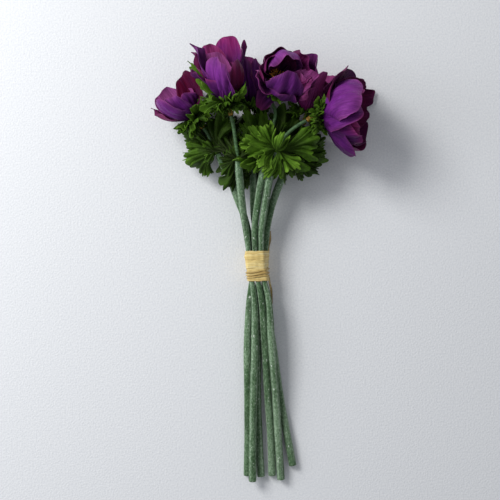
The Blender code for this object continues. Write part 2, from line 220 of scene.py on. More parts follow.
def outwards(frame: Array, turn: float) -> Array:
    """The way from a head's axis towards this turn, in radians from its upper side to its right."""
    return frame[0] * math.cos(turn) + frame[1] * math.sin(turn)


# ---------------------------------------------------------------- surfaces


@dataclass
class Patch:
    """One closed surface: its points, its faces and what each point tells the finish.

    Attributes:
        points: places in millimetres, one per row.
        faces: arrays of face corners; each array holds faces with the same number of corners.
        values: a number per point, by name.
        cloth: where each point lies on the flat material, in millimetres.
    """

    points: Array
    faces: list
    values: dict
    cloth: Array


def volume_sign(points: Array, quads: Array) -> float:
    """The volume that the quads close in, positive where they face outwards."""
    a, b, c, d = (points[quads[:, k]] for k in range(4))
    return float((np.cross(b - a, c - a) * a).sum() + (np.cross(c - a, d - a) * a).sum())


def thick_sheet(middle: Array, thickness: Array, front: dict, back: dict,
                cloth: Array) -> Patch:
    """A closed shell: the middle surface moved half the thickness both ways along its normal.

    The front lies on the side of (first axis) x (second axis). A strip of faces joins front and back
    along the rim.

    Args:
        middle: grid of points, (columns, rows, 3).
        thickness: thickness at each grid point.
        front: values by name on the front, each a grid.
        back: the same names on the back.
        cloth: flat place of each grid point, (columns, rows, 2).

    Returns:
        The shell as a patch.
    """
    columns, rows = middle.shape[:2]
    normal = unit(np.cross(np.gradient(middle, axis=0), np.gradient(middle, axis=1)))
    half = (thickness * 0.5)[..., None] * normal
    points = np.concatenate([(middle + half).reshape(-1, 3), (middle - half).reshape(-1, 3)])
    grid = np.arange(columns * rows).reshape(columns, rows)
    quads = quads_of(grid)
    count = columns * rows
    around = np.concatenate([grid[:-1, 0], grid[-1, :-1], grid[:0:-1, -1], grid[0, :0:-1]])
    following = np.roll(around, -1)
    rim = np.stack([following, around, around + count, following + count], axis=-1)
    faces = np.concatenate([quads, quads[:, ::-1] + count, rim])
    values = {name: np.concatenate([front[name].ravel(), back[name].ravel()]) for name in front}
    flat = np.concatenate([cloth.reshape(-1, 2)] * 2)
    return Patch(points, [faces], values, flat)


def tube(line: Array, radii: Array, sides: int, values: dict | None = None,
         end_rings: tuple = ()) -> Patch:
    """A closed rod: a circle of the given radius carried along the line, square to it.

    radii may be one number per point of the line, or a grid (points, sides) for a rod that isn't round.

    Args:
        line: middle points, one per row.
        radii: radius at each point, in millimetres.
        sides: corners of the circle.
        values: values by name, one number per point of the line.
        end_rings: extra rings at the first end, each (share of the radius, how far outwards, value).

    Returns:
        The rod as a patch; its value "end" is 0 on the rod and the ring's value on its first end.
    """
    tangent = unit(np.gradient(line, axis=0))
    side = unit(np.cross(tangent, UP))
    rise = np.cross(side, tangent)
    angle = circle(sides) - math.pi / 2
    radial = side[:, None] * np.cos(angle)[None, :, None] + rise[:, None] * np.sin(angle)[None, :, None]
    reach = np.broadcast_to(radii[:, None] if radii.ndim == 1 else radii, (len(line), sides))
    rings = line[:, None] + radial * reach[..., None]
    end = np.zeros(len(line))
    for share, outwards, mark in end_rings:
        ring = line[0] - tangent[0] * outwards + radial[0] * reach[0][:, None] * share
        rings = np.concatenate([ring[None], rings])
        end = np.concatenate([[mark], end])
    extra = len(rings) - len(line)
    along = np.concatenate([[0.0], np.cumsum(np.linalg.norm(np.diff(line, axis=0), axis=1))])
    along = np.concatenate([np.zeros(extra), along])
    grid = np.arange(len(rings) * sides).reshape(-1, sides)
    beside = np.roll(grid, -1, axis=1)
    quads = np.stack([grid[:-1], beside[:-1], beside[1:], grid[1:]], axis=-1).reshape(-1, 4)
    points = rings.reshape(-1, 3)
    caps = [grid[0][::-1][None], grid[-1][None]]
    if volume_sign(points, quads) < 0:
        quads, caps = quads[:, ::-1], [cap[:, ::-1] for cap in caps]
    spread = {"end": np.repeat(end, sides)}
    for name, row in (values or {}).items():
        spread[name] = np.repeat(np.concatenate([np.full(extra, row[0]), row]), sides)
    flat = np.stack([np.tile(angle, len(rings)) * np.repeat(np.mean(reach), len(points)),
                     np.repeat(along, sides)], axis=-1)
    return Patch(points, [quads, *caps], spread, flat)


def loops_through(rings: Array, values: dict, cloth: Array) -> Patch:
    """A closed ring of material: rings (around, across, 3) joined both ways round.

    Args:
        rings: points of each cross-section, one cross-section after the other round the loop.
        values: grids of values by name.
        cloth: flat place of each point.

    Returns:
        The loop as a patch, facing outwards.
    """
    around, across = rings.shape[:2]
    grid = np.arange(around * across).reshape(around, across)
    quads = quads_of(np.pad(grid, ((0, 1), (0, 1)), "wrap"))
    points = rings.reshape(-1, 3)
    if volume_sign(points, quads) < 0:
        quads = quads[:, ::-1]
    return Patch(points, [quads], {k: v.ravel() for k, v in values.items()}, cloth.reshape(-1, 2))


def blob(centre: Array, radius: Array, axes: Array, tip: float, rings: int = 4,
         sides: int = 6) -> Patch:
    """A small closed ball or bead.

    Args:
        centre: its middle.
        radius: its three half sizes along axes.
        axes: three unit vectors in rows.
        tip: its value tip.
        rings: rings of points between its two poles.
        sides: corners of a ring.

    Returns:
        The ball as a patch.
    """
    polar = np.linspace(0, math.pi, rings + 2)[1:-1]
    turn = circle(sides)
    sheet = np.stack([np.outer(np.sin(polar), np.cos(turn)), np.outer(np.sin(polar), np.sin(turn)),
                      np.outer(np.cos(polar), np.ones(sides))], axis=-1).reshape(-1, 3)
    ball = np.concatenate([sheet, [[0, 0, 1], [0, 0, -1]]]) * radius
    grid = np.arange(rings * sides).reshape(rings, sides)
    beside = np.roll(grid, -1, axis=1)
    quads = quads_of(np.pad(grid, ((0, 0), (0, 1)), "wrap"))
    top, foot = rings * sides, rings * sides + 1
    first = np.stack([np.full(sides, top), grid[0], beside[0]], axis=-1)
    last = np.stack([np.full(sides, foot), beside[-1], grid[-1]], axis=-1)
    count = len(ball)
    return Patch(centre + ball @ axes, [quads, np.concatenate([first, last])], {"tip": np.full(count, tip)},
                 np.zeros((count, 2)))


def add_object(name: str, data: bpy.types.ID) -> bpy.types.Object:
    """Adds an object to the scene.

    Args:
        name: its name.
        data: its mesh, lamp or camera.

    Returns:
        The object.
    """
    made = bpy.data.objects.new(name, data)
    bpy.context.scene.collection.objects.link(made)
    return made


def piece_from(name: str, patches: list[Patch], material: Material, stands_for: str,
               sharp: float = 60.0) -> None:
    """Args:
        name: the piece's name.
        patches: its closed surfaces.
        material: its finish.
        stands_for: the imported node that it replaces.
        sharp: edges bent more than this many degrees look sharp.
    """
    starts = np.concatenate([[0], np.cumsum([len(p.points) for p in patches])])
    points = (np.concatenate([p.points for p in patches]) + SHIFT) * MM
    groups = [faces + start for patch, start in zip(patches, starts) for faces in patch.faces]
    corners = np.concatenate([faces.ravel() for faces in groups])
    sizes = np.concatenate([np.full(len(faces), faces.shape[1]) for faces in groups])
    mesh = bpy.data.meshes.new(name)
    mesh.vertices.add(len(points))
    mesh.vertices.foreach_set("co", points.astype(np.float32).ravel())
    mesh.loops.add(len(corners))
    mesh.loops.foreach_set("vertex_index", corners.astype(np.int32))
    mesh.polygons.add(len(sizes))
    firsts = np.concatenate([[0], np.cumsum(sizes)[:-1]])
    mesh.polygons.foreach_set("loop_start", firsts.astype(np.int32))
    mesh.update(calc_edges=True)
    mesh.validate()
    for value in patches[0].values:
        numbers = np.concatenate([p.values[value] for p in patches]).astype(np.float32)
        mesh.attributes.new(value, "FLOAT", "POINT").data.foreach_set("value", numbers)
    flat = np.concatenate([p.cloth for p in patches])
    order = np.zeros(len(mesh.loops), np.int32)
    mesh.loops.foreach_get("vertex_index", order)
    mesh.uv_layers.new(name="cloth").data.foreach_set("uv", (flat[order] * MM).astype(np.float32).ravel())
    mesh.shade_smooth()
    mesh.set_sharp_from_angle(angle=math.radians(sharp))
    mesh.materials.append(material)
    made = add_object(name, mesh)
    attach(made, BODY)
    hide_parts(stands_for)
    log.info("%s: %d faces, stands for %s", name, len(mesh.polygons), stands_for)


# ---------------------------------------------------------------- finishes


def dye(code: str) -> tuple:
    """The linear colour of a six-digit colour code."""
    parts = [int(code[i : i + 2], 16) / 255 for i in (1, 3, 5)]
    return (*(p / 12.92 if p <= 0.04045 else ((p + 0.055) / 1.055) ** 2.4 for p in parts), 1.0)


class Recipe:
    """A material under construction: a Principled shader and the nodes that feed it."""

    SOCKETS = {"specular_ior_level": "Specular IOR Level"}

    def __init__(self, name: str, roughness: float) -> None:
        """Starts a material with one shader.

        Args:
            name: the material's name.
            roughness: its shader's roughness.
        """
        self.material = bpy.data.materials.new(name)
        self.material.use_nodes = True
        self.nodes = self.material.node_tree.nodes
        self.links = self.material.node_tree.links
        self.shader = self.nodes["Principled BSDF"]
        self.set(roughness=roughness)

    def set(self, **numbers: float | tuple) -> None:
        """Sets numbers on the shader's own sockets.

        Args:
            numbers: numbers or colours by socket; sheen_tint names the socket Sheen Tint.
        """
        for name, value in numbers.items():
            socket = self.SOCKETS.get(name, name.replace("_", " ").title())
            self.shader.inputs[socket].default_value = value

    def node(self, kind: str, output: str, **inputs: object) -> Socket:
        """A node of this kind whose inputs are set or linked by name.

        Args:
            kind: the end of the node's type, after ShaderNode.
            output: the output that it returns.
            inputs: a number or another node's output by socket; From_Min names the socket From Min.

        Returns:
            The output.
        """
        node = self.nodes.new(f"ShaderNode{kind}")
        for name, value in inputs.items():
            self.plug(node.inputs[name.replace("_", " ")], value)
        return node.outputs[output]

    def plug(self, socket: Socket, value: object) -> None:
        """Feeds an input.

        Args:
            socket: the input.
            value: an output to link, or a number or colour to set.
        """
        if isinstance(value, Socket):
            self.links.new(value, socket)
        else:
            socket.default_value = value

    def attribute(self, name: str) -> Socket:
        """A number that each point of the piece carries.

        Args:
            name: the number's name.

        Returns:
            Its value.
        """
        output = self.node("Attribute", "Fac")
        output.node.attribute_name = name
        return output

    def noise_at(self, places: Socket, stretch: tuple, scale: float, detail: float,
                 roughness: float) -> Socket:
        """Smooth noise, about 0.3 to 0.7, at the places with each axis scaled by stretch."""
        mapped = self.node("Mapping", "Vector", Vector=places, Scale=stretch)
        return self.node("TexNoise", "Fac", Vector=mapped, Scale=scale, Detail=detail, Roughness=roughness)

    def noise(self, scale: float, detail: float, roughness: float = 0.55, lengthwise: float = 1.0) -> Socket:
        """Noise over the piece, its features 1 / scale metres wide, longer where lengthwise is under 1."""
        places = self.node("TexCoord", "Object")
        return self.noise_at(places, (1.0, lengthwise, 1.0), scale, detail, roughness)

    def strands(self, across: float, along: float, detail: float, roughness: float = 0.55) -> Socket:
        """Noise on the flat material, drawn out into strands.

        Args:
            across: features per metre on the first axis.
            along: features per metre on the second.
            detail: how many finer layers.
            roughness: how strong the finer layers are.

        Returns:
            The noise, about 0.3 to 0.7.
        """
        places = self.node("UVMap", "UV")
        places.node.uv_map = "cloth"
        return self.noise_at(places, (across, along, 1.0), 1.0, detail, roughness)

    def math(self, kind: str, first: Socket, second: Socket) -> Socket:
        """One arithmetic step between two outputs.

        Args:
            kind: ADD or MULTIPLY.
            first: one output.
            second: the other.

        Returns:
            The result.
        """
        node = self.nodes.new("ShaderNodeMath")
        node.operation = kind
        self.links.new(first, node.inputs[0])
        self.links.new(second, node.inputs[1])
        return node.outputs[0]

    def span(self, value: Socket, low: float, high: float, to_low: float = 0.0,
             to_high: float = 1.0) -> Socket:
        """Maps low..high to to_low..to_high and clamps it there."""
        limits = {"From_Min": low, "From_Max": high, "To_Min": to_low, "To_Max": to_high}
        return self.node("MapRange", "Result", Value=value, **limits)

    def ramp(self, value: Socket, *stops: tuple) -> Socket:
        """A colour by value.

        Args:
            value: what chooses the colour.
            stops: each (value, colour code).

        Returns:
            The colour.
        """
        output = self.node("ValToRGB", "Color", Fac=value)
        elements = output.node.color_ramp.elements
        for index, (at, code) in enumerate(stops):
            stop = elements[index] if index < 2 else elements.new(at)
            stop.position = at
            stop.color = dye(code)
        return output

    def mix(self, share: Socket, first: object, second: object) -> Socket:
        """Two colours mixed.

        Args:
            share: 0 for the first to 1 for the second.
            first: an output or a colour code.
            second: likewise.

        Returns:
            The mixed colour.
        """
        node = self.nodes.new("ShaderNodeMix")
        node.data_type = "RGBA"
        self.links.new(share, node.inputs["Factor"])
        ends = [socket for socket in node.inputs if socket.type == "RGBA"]
        for socket, colour in zip(ends, (first, second)):
            self.plug(socket, dye(colour) if isinstance(colour, str) else colour)
        return next(socket for socket in node.outputs if socket.type == "RGBA")

    def bump(self, height: Socket, distance: float) -> None:
        """Adds relief, on top of what earlier calls added.

        Args:
            height: the pattern.
            distance: its height in metres.
        """
        normal = self.shader.inputs["Normal"]
        before = {"Normal": normal.links[0].from_socket} if normal.is_linked else {}
        relief = self.node("Bump", "Normal", Strength=1.0, Distance=distance, Height=height, **before)
        self.links.new(relief, normal)

    def colour(self, value: Socket) -> None:
        """Feeds the base colour."""
        self.links.new(value, self.shader.inputs["Base Color"])


@dataclass(frozen=True)
class PetalCloth:
    """Dyed satin: violet to red by the value warm, pinker by pale; the value shade is painted shade that
    darkens it towards near-black where it lies in shadow.
    """

    name: str = "petal_satin"
    violet: str = "#671e80"
    plum: str = "#4d0d60"
    magenta: str = "#8c1158"
    red: str = "#700a2a"
    rose: str = "#bd64aa"

    def make(self) -> Material:
        """Builds the material.

        Returns:
            The material.
        """
        r = Recipe(self.name, 0.5)
        r.set(sheen_weight=0.07, sheen_roughness=0.35, sheen_tint=dye("#c070e0"), specular_ior_level=0.22,
              specular_tint=dye("#c080d8"))
        veins = r.strands(1100.0, 130.0, 4.0, 0.6)
        folds = r.strands(320.0, 26.0, 2.0)
        cloud = r.noise(95.0, 3.0)
        warm = r.math("ADD", r.attribute("warm"), r.span(cloud, 0.3, 0.7, -0.1, 0.1))
        dyed = r.ramp(warm, (0.0, self.violet), (0.35, self.plum), (0.7, self.magenta), (1.0, self.red))
        pale = r.math("ADD", r.attribute("pale"), r.span(folds, 0.35, 0.65, -0.06, 0.06))
        tinted = r.mix(r.span(pale, 0.0, 1.0), dyed, self.rose)
        streaked = r.mix(r.span(veins, 0.36, 0.62, 0.0, 0.36), tinted, "#2a0a34")
        streaked = r.mix(r.span(folds, 0.56, 0.72, 0.0, 0.3), streaked, "#2a0a34")
        streaked = r.mix(r.span(cloud, 0.45, 0.75, 0.0, 0.35), streaked, "#320c40")
        # Painted shade: the value shade darkens the dyed colour towards near-black where the petal lies in
        # shadow and towards its foot.
        r.colour(r.mix(r.span(r.attribute("shade"), 0.0, 1.0), streaked, "#150418"))
        r.bump(veins, 0.0003)
        r.bump(folds, 0.0013)
        return r.material


@dataclass(frozen=True)
class LeafCloth:
    """Printed green cloth with pale veins; the value bright is painted light and shade, lighter where the
    leaf lies in the light and darker where it lies in shadow.
    """

    name: str = "leaf_cloth"

    def make(self) -> Material:
        """Builds the material.

        Returns:
            The material.
        """
        r = Recipe(self.name, 0.58)
        r.set(sheen_weight=0.06, sheen_roughness=0.5, sheen_tint=dye("#b8d080"), specular_ior_level=0.26,
              specular_tint=dye("#c4dc98"))
        cloud = r.noise(140.0, 3.0)
        grain = r.noise(1400.0, 2.0)
        # Painted light and shade from the value bright, with a random change of tone.
        painted_light_and_tone = r.math("ADD", r.attribute("bright"), r.span(cloud, 0.3, 0.7, -0.18, 0.18))
        green = r.ramp(painted_light_and_tone, (0.0, "#0c1704"), (0.4, "#284309"), (0.75, "#4a6e1a"), (1.0, "#688f2c"))
        veined = r.mix(r.attribute("vein"), green, "#6a8c34")
        r.colour(r.mix(r.span(grain, 0.4, 0.6, 0.0, 0.25), veined, "#14200a"))
        r.bump(grain, 0.00012)
        r.bump(cloud, 0.0008)
        return r.material


@dataclass(frozen=True)
class FlockedFoam:
    """Mottled grey-green flock with pale bloom, seams and lint, and bare foam and wire at the cut."""

    name: str = "flocked_foam"

    def make(self) -> Material:
        """Builds the material.

        Returns:
            The material.
        """
        r = Recipe(self.name, 0.9)
        r.set(sheen_weight=0.25, sheen_roughness=0.5, sheen_tint=dye("#c8d8c4"), specular_ior_level=0.15)
        cloud = r.noise(190.0, 4.0, lengthwise=0.25)
        patch = r.noise(60.0, 2.0, lengthwise=0.35)
        fuzz = r.noise(2600.0, 2.0)
        lint = r.noise(520.0, 2.0, 0.7, lengthwise=0.5)
        mottle = r.noise(780.0, 3.0, 0.65, lengthwise=0.7)
        green = r.ramp(cloud, (0.3, "#384f34"), (0.5, "#51704d"), (0.72, "#789474"))
        bloomed = r.mix(r.span(patch, 0.45, 0.7, 0.0, 0.65), green, "#97b294")
        mottled = r.mix(r.span(mottle, 0.48, 0.66, 0.0, 0.26), bloomed, "#a9c0a6")
        mottled = r.mix(r.span(mottle, 0.58, 0.34, 0.0, 0.66), mottled, "#2b4a29")
        fuzzy = r.mix(r.span(fuzz, 0.4, 0.62, 0.0, 0.35), mottled, "#2b3f2a")
        worn_seam = r.math("MULTIPLY", r.attribute("seam"), r.span(mottle, 0.35, 0.6, 0.15, 0.7))
        seamed = r.mix(worn_seam, fuzzy, "#a4baa2")
        linted = r.mix(r.span(lint, 0.655, 0.7, 0.0, 0.8), seamed, "#d2dcd1")
        end = r.attribute("end")
        foam = r.mix(r.span(end, 0.4, 0.6), linted, "#5d7a4e")
        r.colour(r.mix(r.span(end, 1.4, 1.6), foam, "#6f6c66"))
        r.bump(fuzz, 0.00022)
        r.bump(cloud, 0.0004)
        return r.material


@dataclass(frozen=True)
class WrappedPaper:
    """Crepe paper wound round wire, with a darker line at each turn."""

    name: str
    light: str
    dark: str

    def make(self) -> Material:
        """Builds the material.

        Returns:
            The material.
        """
        r = Recipe(self.name, 0.6)
        r.set(specular_ior_level=0.4)
        cloud = r.noise(420.0, 3.0)
        crepe = r.strands(500.0, 2600.0, 2.0)
        base = r.ramp(cloud, (0.3, self.dark), (0.62, self.light))
        r.colour(r.mix(r.attribute("turn"), base, self.dark))
        r.bump(crepe, 0.00015)
        return r.material


@dataclass(frozen=True)
class Raffia:
    """Dried palm strip: straw colour with lengthwise fibres, browner by the value brown."""

    name: str = "raffia_strip"

    def make(self) -> Material:
        """Builds the material.

        Returns:
            The material.
        """
        r = Recipe(self.name, 0.5)
        r.set(specular_ior_level=0.4, sheen_weight=0.1, sheen_roughness=0.4)
        fibre = r.strands(25.0, 2600.0, 4.0, 0.65)
        streak = r.strands(12.0, 700.0, 3.0)
        straw = r.ramp(streak, (0.3, "#d0ab62"), (0.5, "#f1d98d"), (0.7, "#fff2b8"))
        fibred = r.mix(r.span(fibre, 0.38, 0.6, 0.45, 0.0), straw, "#8a6630")
        r.colour(r.mix(r.attribute("brown"), fibred, "#7a5a2c"))
        r.bump(fibre, 0.00022)
        return r.material


@dataclass(frozen=True)
class Grain:
    """Small glossy grains in one colour that darkens at random."""

    name: str
    light: str
    dark: str
    roughness: float

    def make(self) -> Material:
        """Builds the material.

        Returns:
            The material.
        """
        r = Recipe(self.name, self.roughness)
        r.set(specular_ior_level=0.5)
        base = r.ramp(r.noise(600.0, 2.0), (0.35, self.dark), (0.65, self.light))
        r.colour(r.mix(r.attribute("tip"), base, self.light))
        return r.material


class Finishes:
    """Every material of the bunch, made once."""

    def __init__(self) -> None:
        """Builds them all."""
        self.petal = PetalCloth().make()
        self.leaf = LeafCloth().make()
        self.stem = FlockedFoam().make()
        self.stalk = WrappedPaper("stalk_wrap", "#4f7348", "#2b4526").make()
        self.tape = WrappedPaper("neck_tape", "#a88228", "#5c4216").make()
        self.raffia = Raffia().make()
        self.button = Grain("bead_black", "#2a2436", "#0b0910", 0.22).make()
        self.stamen = Grain("stamen_amber", "#b57a24", "#3a1a18", 0.5).make()


# ---------------------------------------------------------------- flowers


@dataclass(frozen=True)
class Petal:
    """One lobe of a cut petal layer.

    Attributes:
        azimuth: where it stands round the head, in degrees from the side nearest the sky to its right.
        length: from the layer's middle to its rim.
        half: half its greatest width.
        foot: angle between the petal and the head's axis at its foot, in degrees.
        rim: the same angle at its rim; a negative one leans over the heart.
        turn: how late the angle changes: 1 evenly, more near the rim.
        broad: where along it is at its widest, as a share of its length.
        cup: how closely its cross-section follows the head's roundness; 0 is flat.
        curl: how many degrees more the last part turns outwards.
        roll: how far it is turned about its own length, in degrees, to lap over its neighbour.
        lean: how far its tip is carried sideways.
        ruffle: height of the waves along its rim.
        fold: height of the broad folds that spread from its foot.
        pleat: height of the fine pleats between them.
        round: how much shorter its sides are than its middle.
        point: how far its tip is drawn out, as a share of its length.
        warm: 0 violet to 1 red, outside; tip is added towards the rim.
        tip: added to warm towards the rim.
        shade: painted shade, how much darker it is painted where it lies in shadow, 0 to 1; below 0 its
            outside is painted lighter and pinker, as painted light.
        pale: how pink its inside is.
        rise: how far it is carried along the axis.
    """

    azimuth: float
    length: float
    half: float
    foot: float
    rim: float
    turn: float = 1.2
    broad: float = 0.55
    cup: float = 0.8
    curl: float = 0.0
    roll: float = 8.0
    lean: float = 0.0
    ruffle: float = 1.4
    fold: float = 1.7
    pleat: float = 0.45
    round: float = 0.3
    point: float = 0.0
    warm: float = 0.1
    tip: float = 0.25
    shade: float = 0.0
    pale: float = 0.3
    rise: float = 0.0

    def surface(self, frame: Array, base: Array, seed: int) -> tuple:
        """The petal'step middle surface on a grid of (across, along).

        The middle line leaves the foot at the foot angle and turns to the rim angle. Each cross-section
        is an arc whose radius is the head'step radius there over cup. Folds are sines across the petal
        that grow towards the rim.

        Args:
            frame: rows are the head'step upper side, right side and axis.
            base: the head'step foot.
            seed: which random folds.

        Returns:
            Points (across, along, 3), the across share -1..1, the along share 0..1 and the flat place.
        """
        across, along = share_grid(*PETAL_GRID)
        step = (np.arange(PETAL_STEPS) + 0.5) / PETAL_STEPS
        angle = self.foot + (self.rim - self.foot) * step**self.turn
        angle = np.radians(angle + self.curl * smoothstep(0.68, 1.0, step) ** 1.5)
        radius, height = (np.concatenate([[0], np.cumsum(way)]) * self.length / PETAL_STEPS
                          for way in (np.sin(angle), np.cos(angle)))
        knots = np.linspace(0, 1, PETAL_STEPS + 1)
        reach = 1 - self.round * np.abs(across) ** 2.6 + self.point * np.exp(-((across / 0.16) ** 2))
        reach = reach + 0.05 * wobble(across * 1.1, along * 0.0 + seed, seed)
        share = along * reach / (1 + self.point)
        from_axis = np.interp(share, knots, PETAL_FOOT_RADIUS + radius)
        up = np.interp(share, knots, self.rise + height)
        slope = np.interp(share, step, angle)
        width = self.half * (0.16 + 0.84 * np.sin(math.pi / 2 * np.clip(along / self.broad, 0, 1)) ** 0.9)
        width = width * (1 - 0.1 * smoothstep(0.75, 1.0, along))
        flat = across * width
        curve = self.cup / np.maximum(from_axis, 5.0) + 1e-5
        bend = flat * curve
        side_way, inwards = np.sin(bend) / curve, (1 - np.cos(bend)) / curve
        turn = math.radians(self.azimuth)
        out_way = outwards(frame, turn)
        round_way = -frame[0] * math.sin(turn) + frame[1] * math.cos(turn)
        outward = out_way * np.cos(slope)[..., None] - frame[2] * np.sin(slope)[..., None]
        roll = math.radians(self.roll) * smoothstep(0.05, 0.6, along)[..., None]
        sideways = round_way * np.cos(roll) + outward * np.sin(roll)
        outward = outward * np.cos(roll) - round_way * np.sin(roll)
        fan = across * (1 + 0.25 * np.sin(seed * 2.1)) + 0.15 * np.sin(along * 3 + seed)
        folds = self.pleat * np.sin(fan * 13 + seed) * np.sin(math.pi * np.clip(along, 0.01, 0.99)) ** 0.8
        folds += self.fold * wobble(fan * 0.75, along * 0.35, seed + 40) * smoothstep(0.05, 0.6, along)
        folds += 0.35 * wobble(across * 1.6, along * 1.6, seed + 60, 6) * smoothstep(0.1, 0.4, along)
        folds += self.ruffle * along**4 * np.sin(across * 6.5 + seed * 1.7)
        folds += self.ruffle * 0.7 * along**3 * wobble(across * 1.8, along, seed + 80)
        lean = self.lean * along**1.8
        points = base + out_way * from_axis[..., None] + frame[2] * up[..., None]
        points = points + round_way * lean[..., None]
        points = points + sideways * side_way[..., None] + outward * (folds - inwards)[..., None]
        cloth = np.stack([flat, share * self.length], axis=-1)
        return points, across, along, cloth

    def patch(self, frame: Array, base: Array, walls: list, seed: int) -> Patch:
        """The petal as a thin shell, pressed by its neighbours, with its dye values and its painted shade.

        Args:
            frame: rows are the head's upper side, right side and axis.
            base: the head's foot.
            walls: planes that it may not pass.
            seed: which random folds.

        Returns:
            The shell as a patch.
        """
        points, across, along, cloth = self.surface(frame, base, seed)
        points = pressed(points, walls)
        edge = np.maximum(np.abs(across) ** 9, along**14)
        deep = (1 - along) ** 2.2
        blotch = wobble(across, along * 1.2, seed + 120)
        # The value shade is painted shade: darker towards the foot, where the petals shade each other, a
        # little less at the rim, and darker still on the inside of the cup. A petal's own shade also makes
        # its outside less pink, and below 0 paints it lighter and pinker.
        front = {
            "warm": self.warm + self.tip * along**3 + 0.25 * edge + 0.07 * blotch,
            "shade": self.shade + 0.45 * deep - 0.05 * edge,
            "pale": 0.04 + 0.12 * along * (1 - self.shade) + 0.3 * edge,
        }
        back = {
            "warm": self.warm + 0.18 + self.tip * along**2 + 0.05 * blotch,
            "shade": self.shade + 0.15 + 0.6 * deep**0.7,
            "pale": self.pale * smoothstep(0.3, 0.9, along) * (1 - 0.5 * along**4) + 0.15 * edge,
        }
        rim = smoothstep(0.85, 1.0, np.maximum(np.abs(across), along))
        thickness = PETAL_THICKNESS - (PETAL_THICKNESS - PETAL_EDGE_THICKNESS) * rim
        return thick_sheet(points, thickness, front, back, cloth)


def press_walls(heads: dict) -> dict:
    """For each head, the planes that it may not pass: those between it and its neighbours, and the table.

    Two neighbours' balls share the plane through their common circle.

    Args:
        heads: heads by name.

    Returns:
        By name, the planes as (normal away from the head, distance).
    """
    balls = {name: (head.base + head.frame[2] * head.press[0], head.press[1]) for name, head in heads.items()}
    walls = {}
    for name, (centre, radius) in balls.items():
        walls[name] = [TABLE_WALL]
        for other, (other_centre, other_radius) in balls.items():
            between = other_centre - centre
            apart = float(np.linalg.norm(between))
            if other == name or apart > radius + other_radius:
                continue
            share = (apart**2 + radius**2 - other_radius**2) / (2 * apart**2)
            normal = between / apart
            walls[name].append((normal, float(normal @ (centre + between * share))))
    return walls


def pressed(points: Array, walls: list) -> Array:
    """Points moved off each wall: the last PRESS_DEPTH before it is squeezed, and nothing crosses it.

    Args:
        points: places, in a grid of any shape.
        walls: planes as (normal towards the wall, distance).

    Returns:
        The moved places.
    """
    room = PRESS_DEPTH - PRESS_LIMIT
    moved = points.copy()
    for normal, distance in walls:
        inside = distance - moved @ normal
        kept = PRESS_LIMIT + room * np.exp((np.minimum(inside, PRESS_DEPTH) - PRESS_DEPTH) / room)
        step = np.where(inside < PRESS_DEPTH, inside - kept, 0.0)
        moved += normal * step[..., None]
    return moved


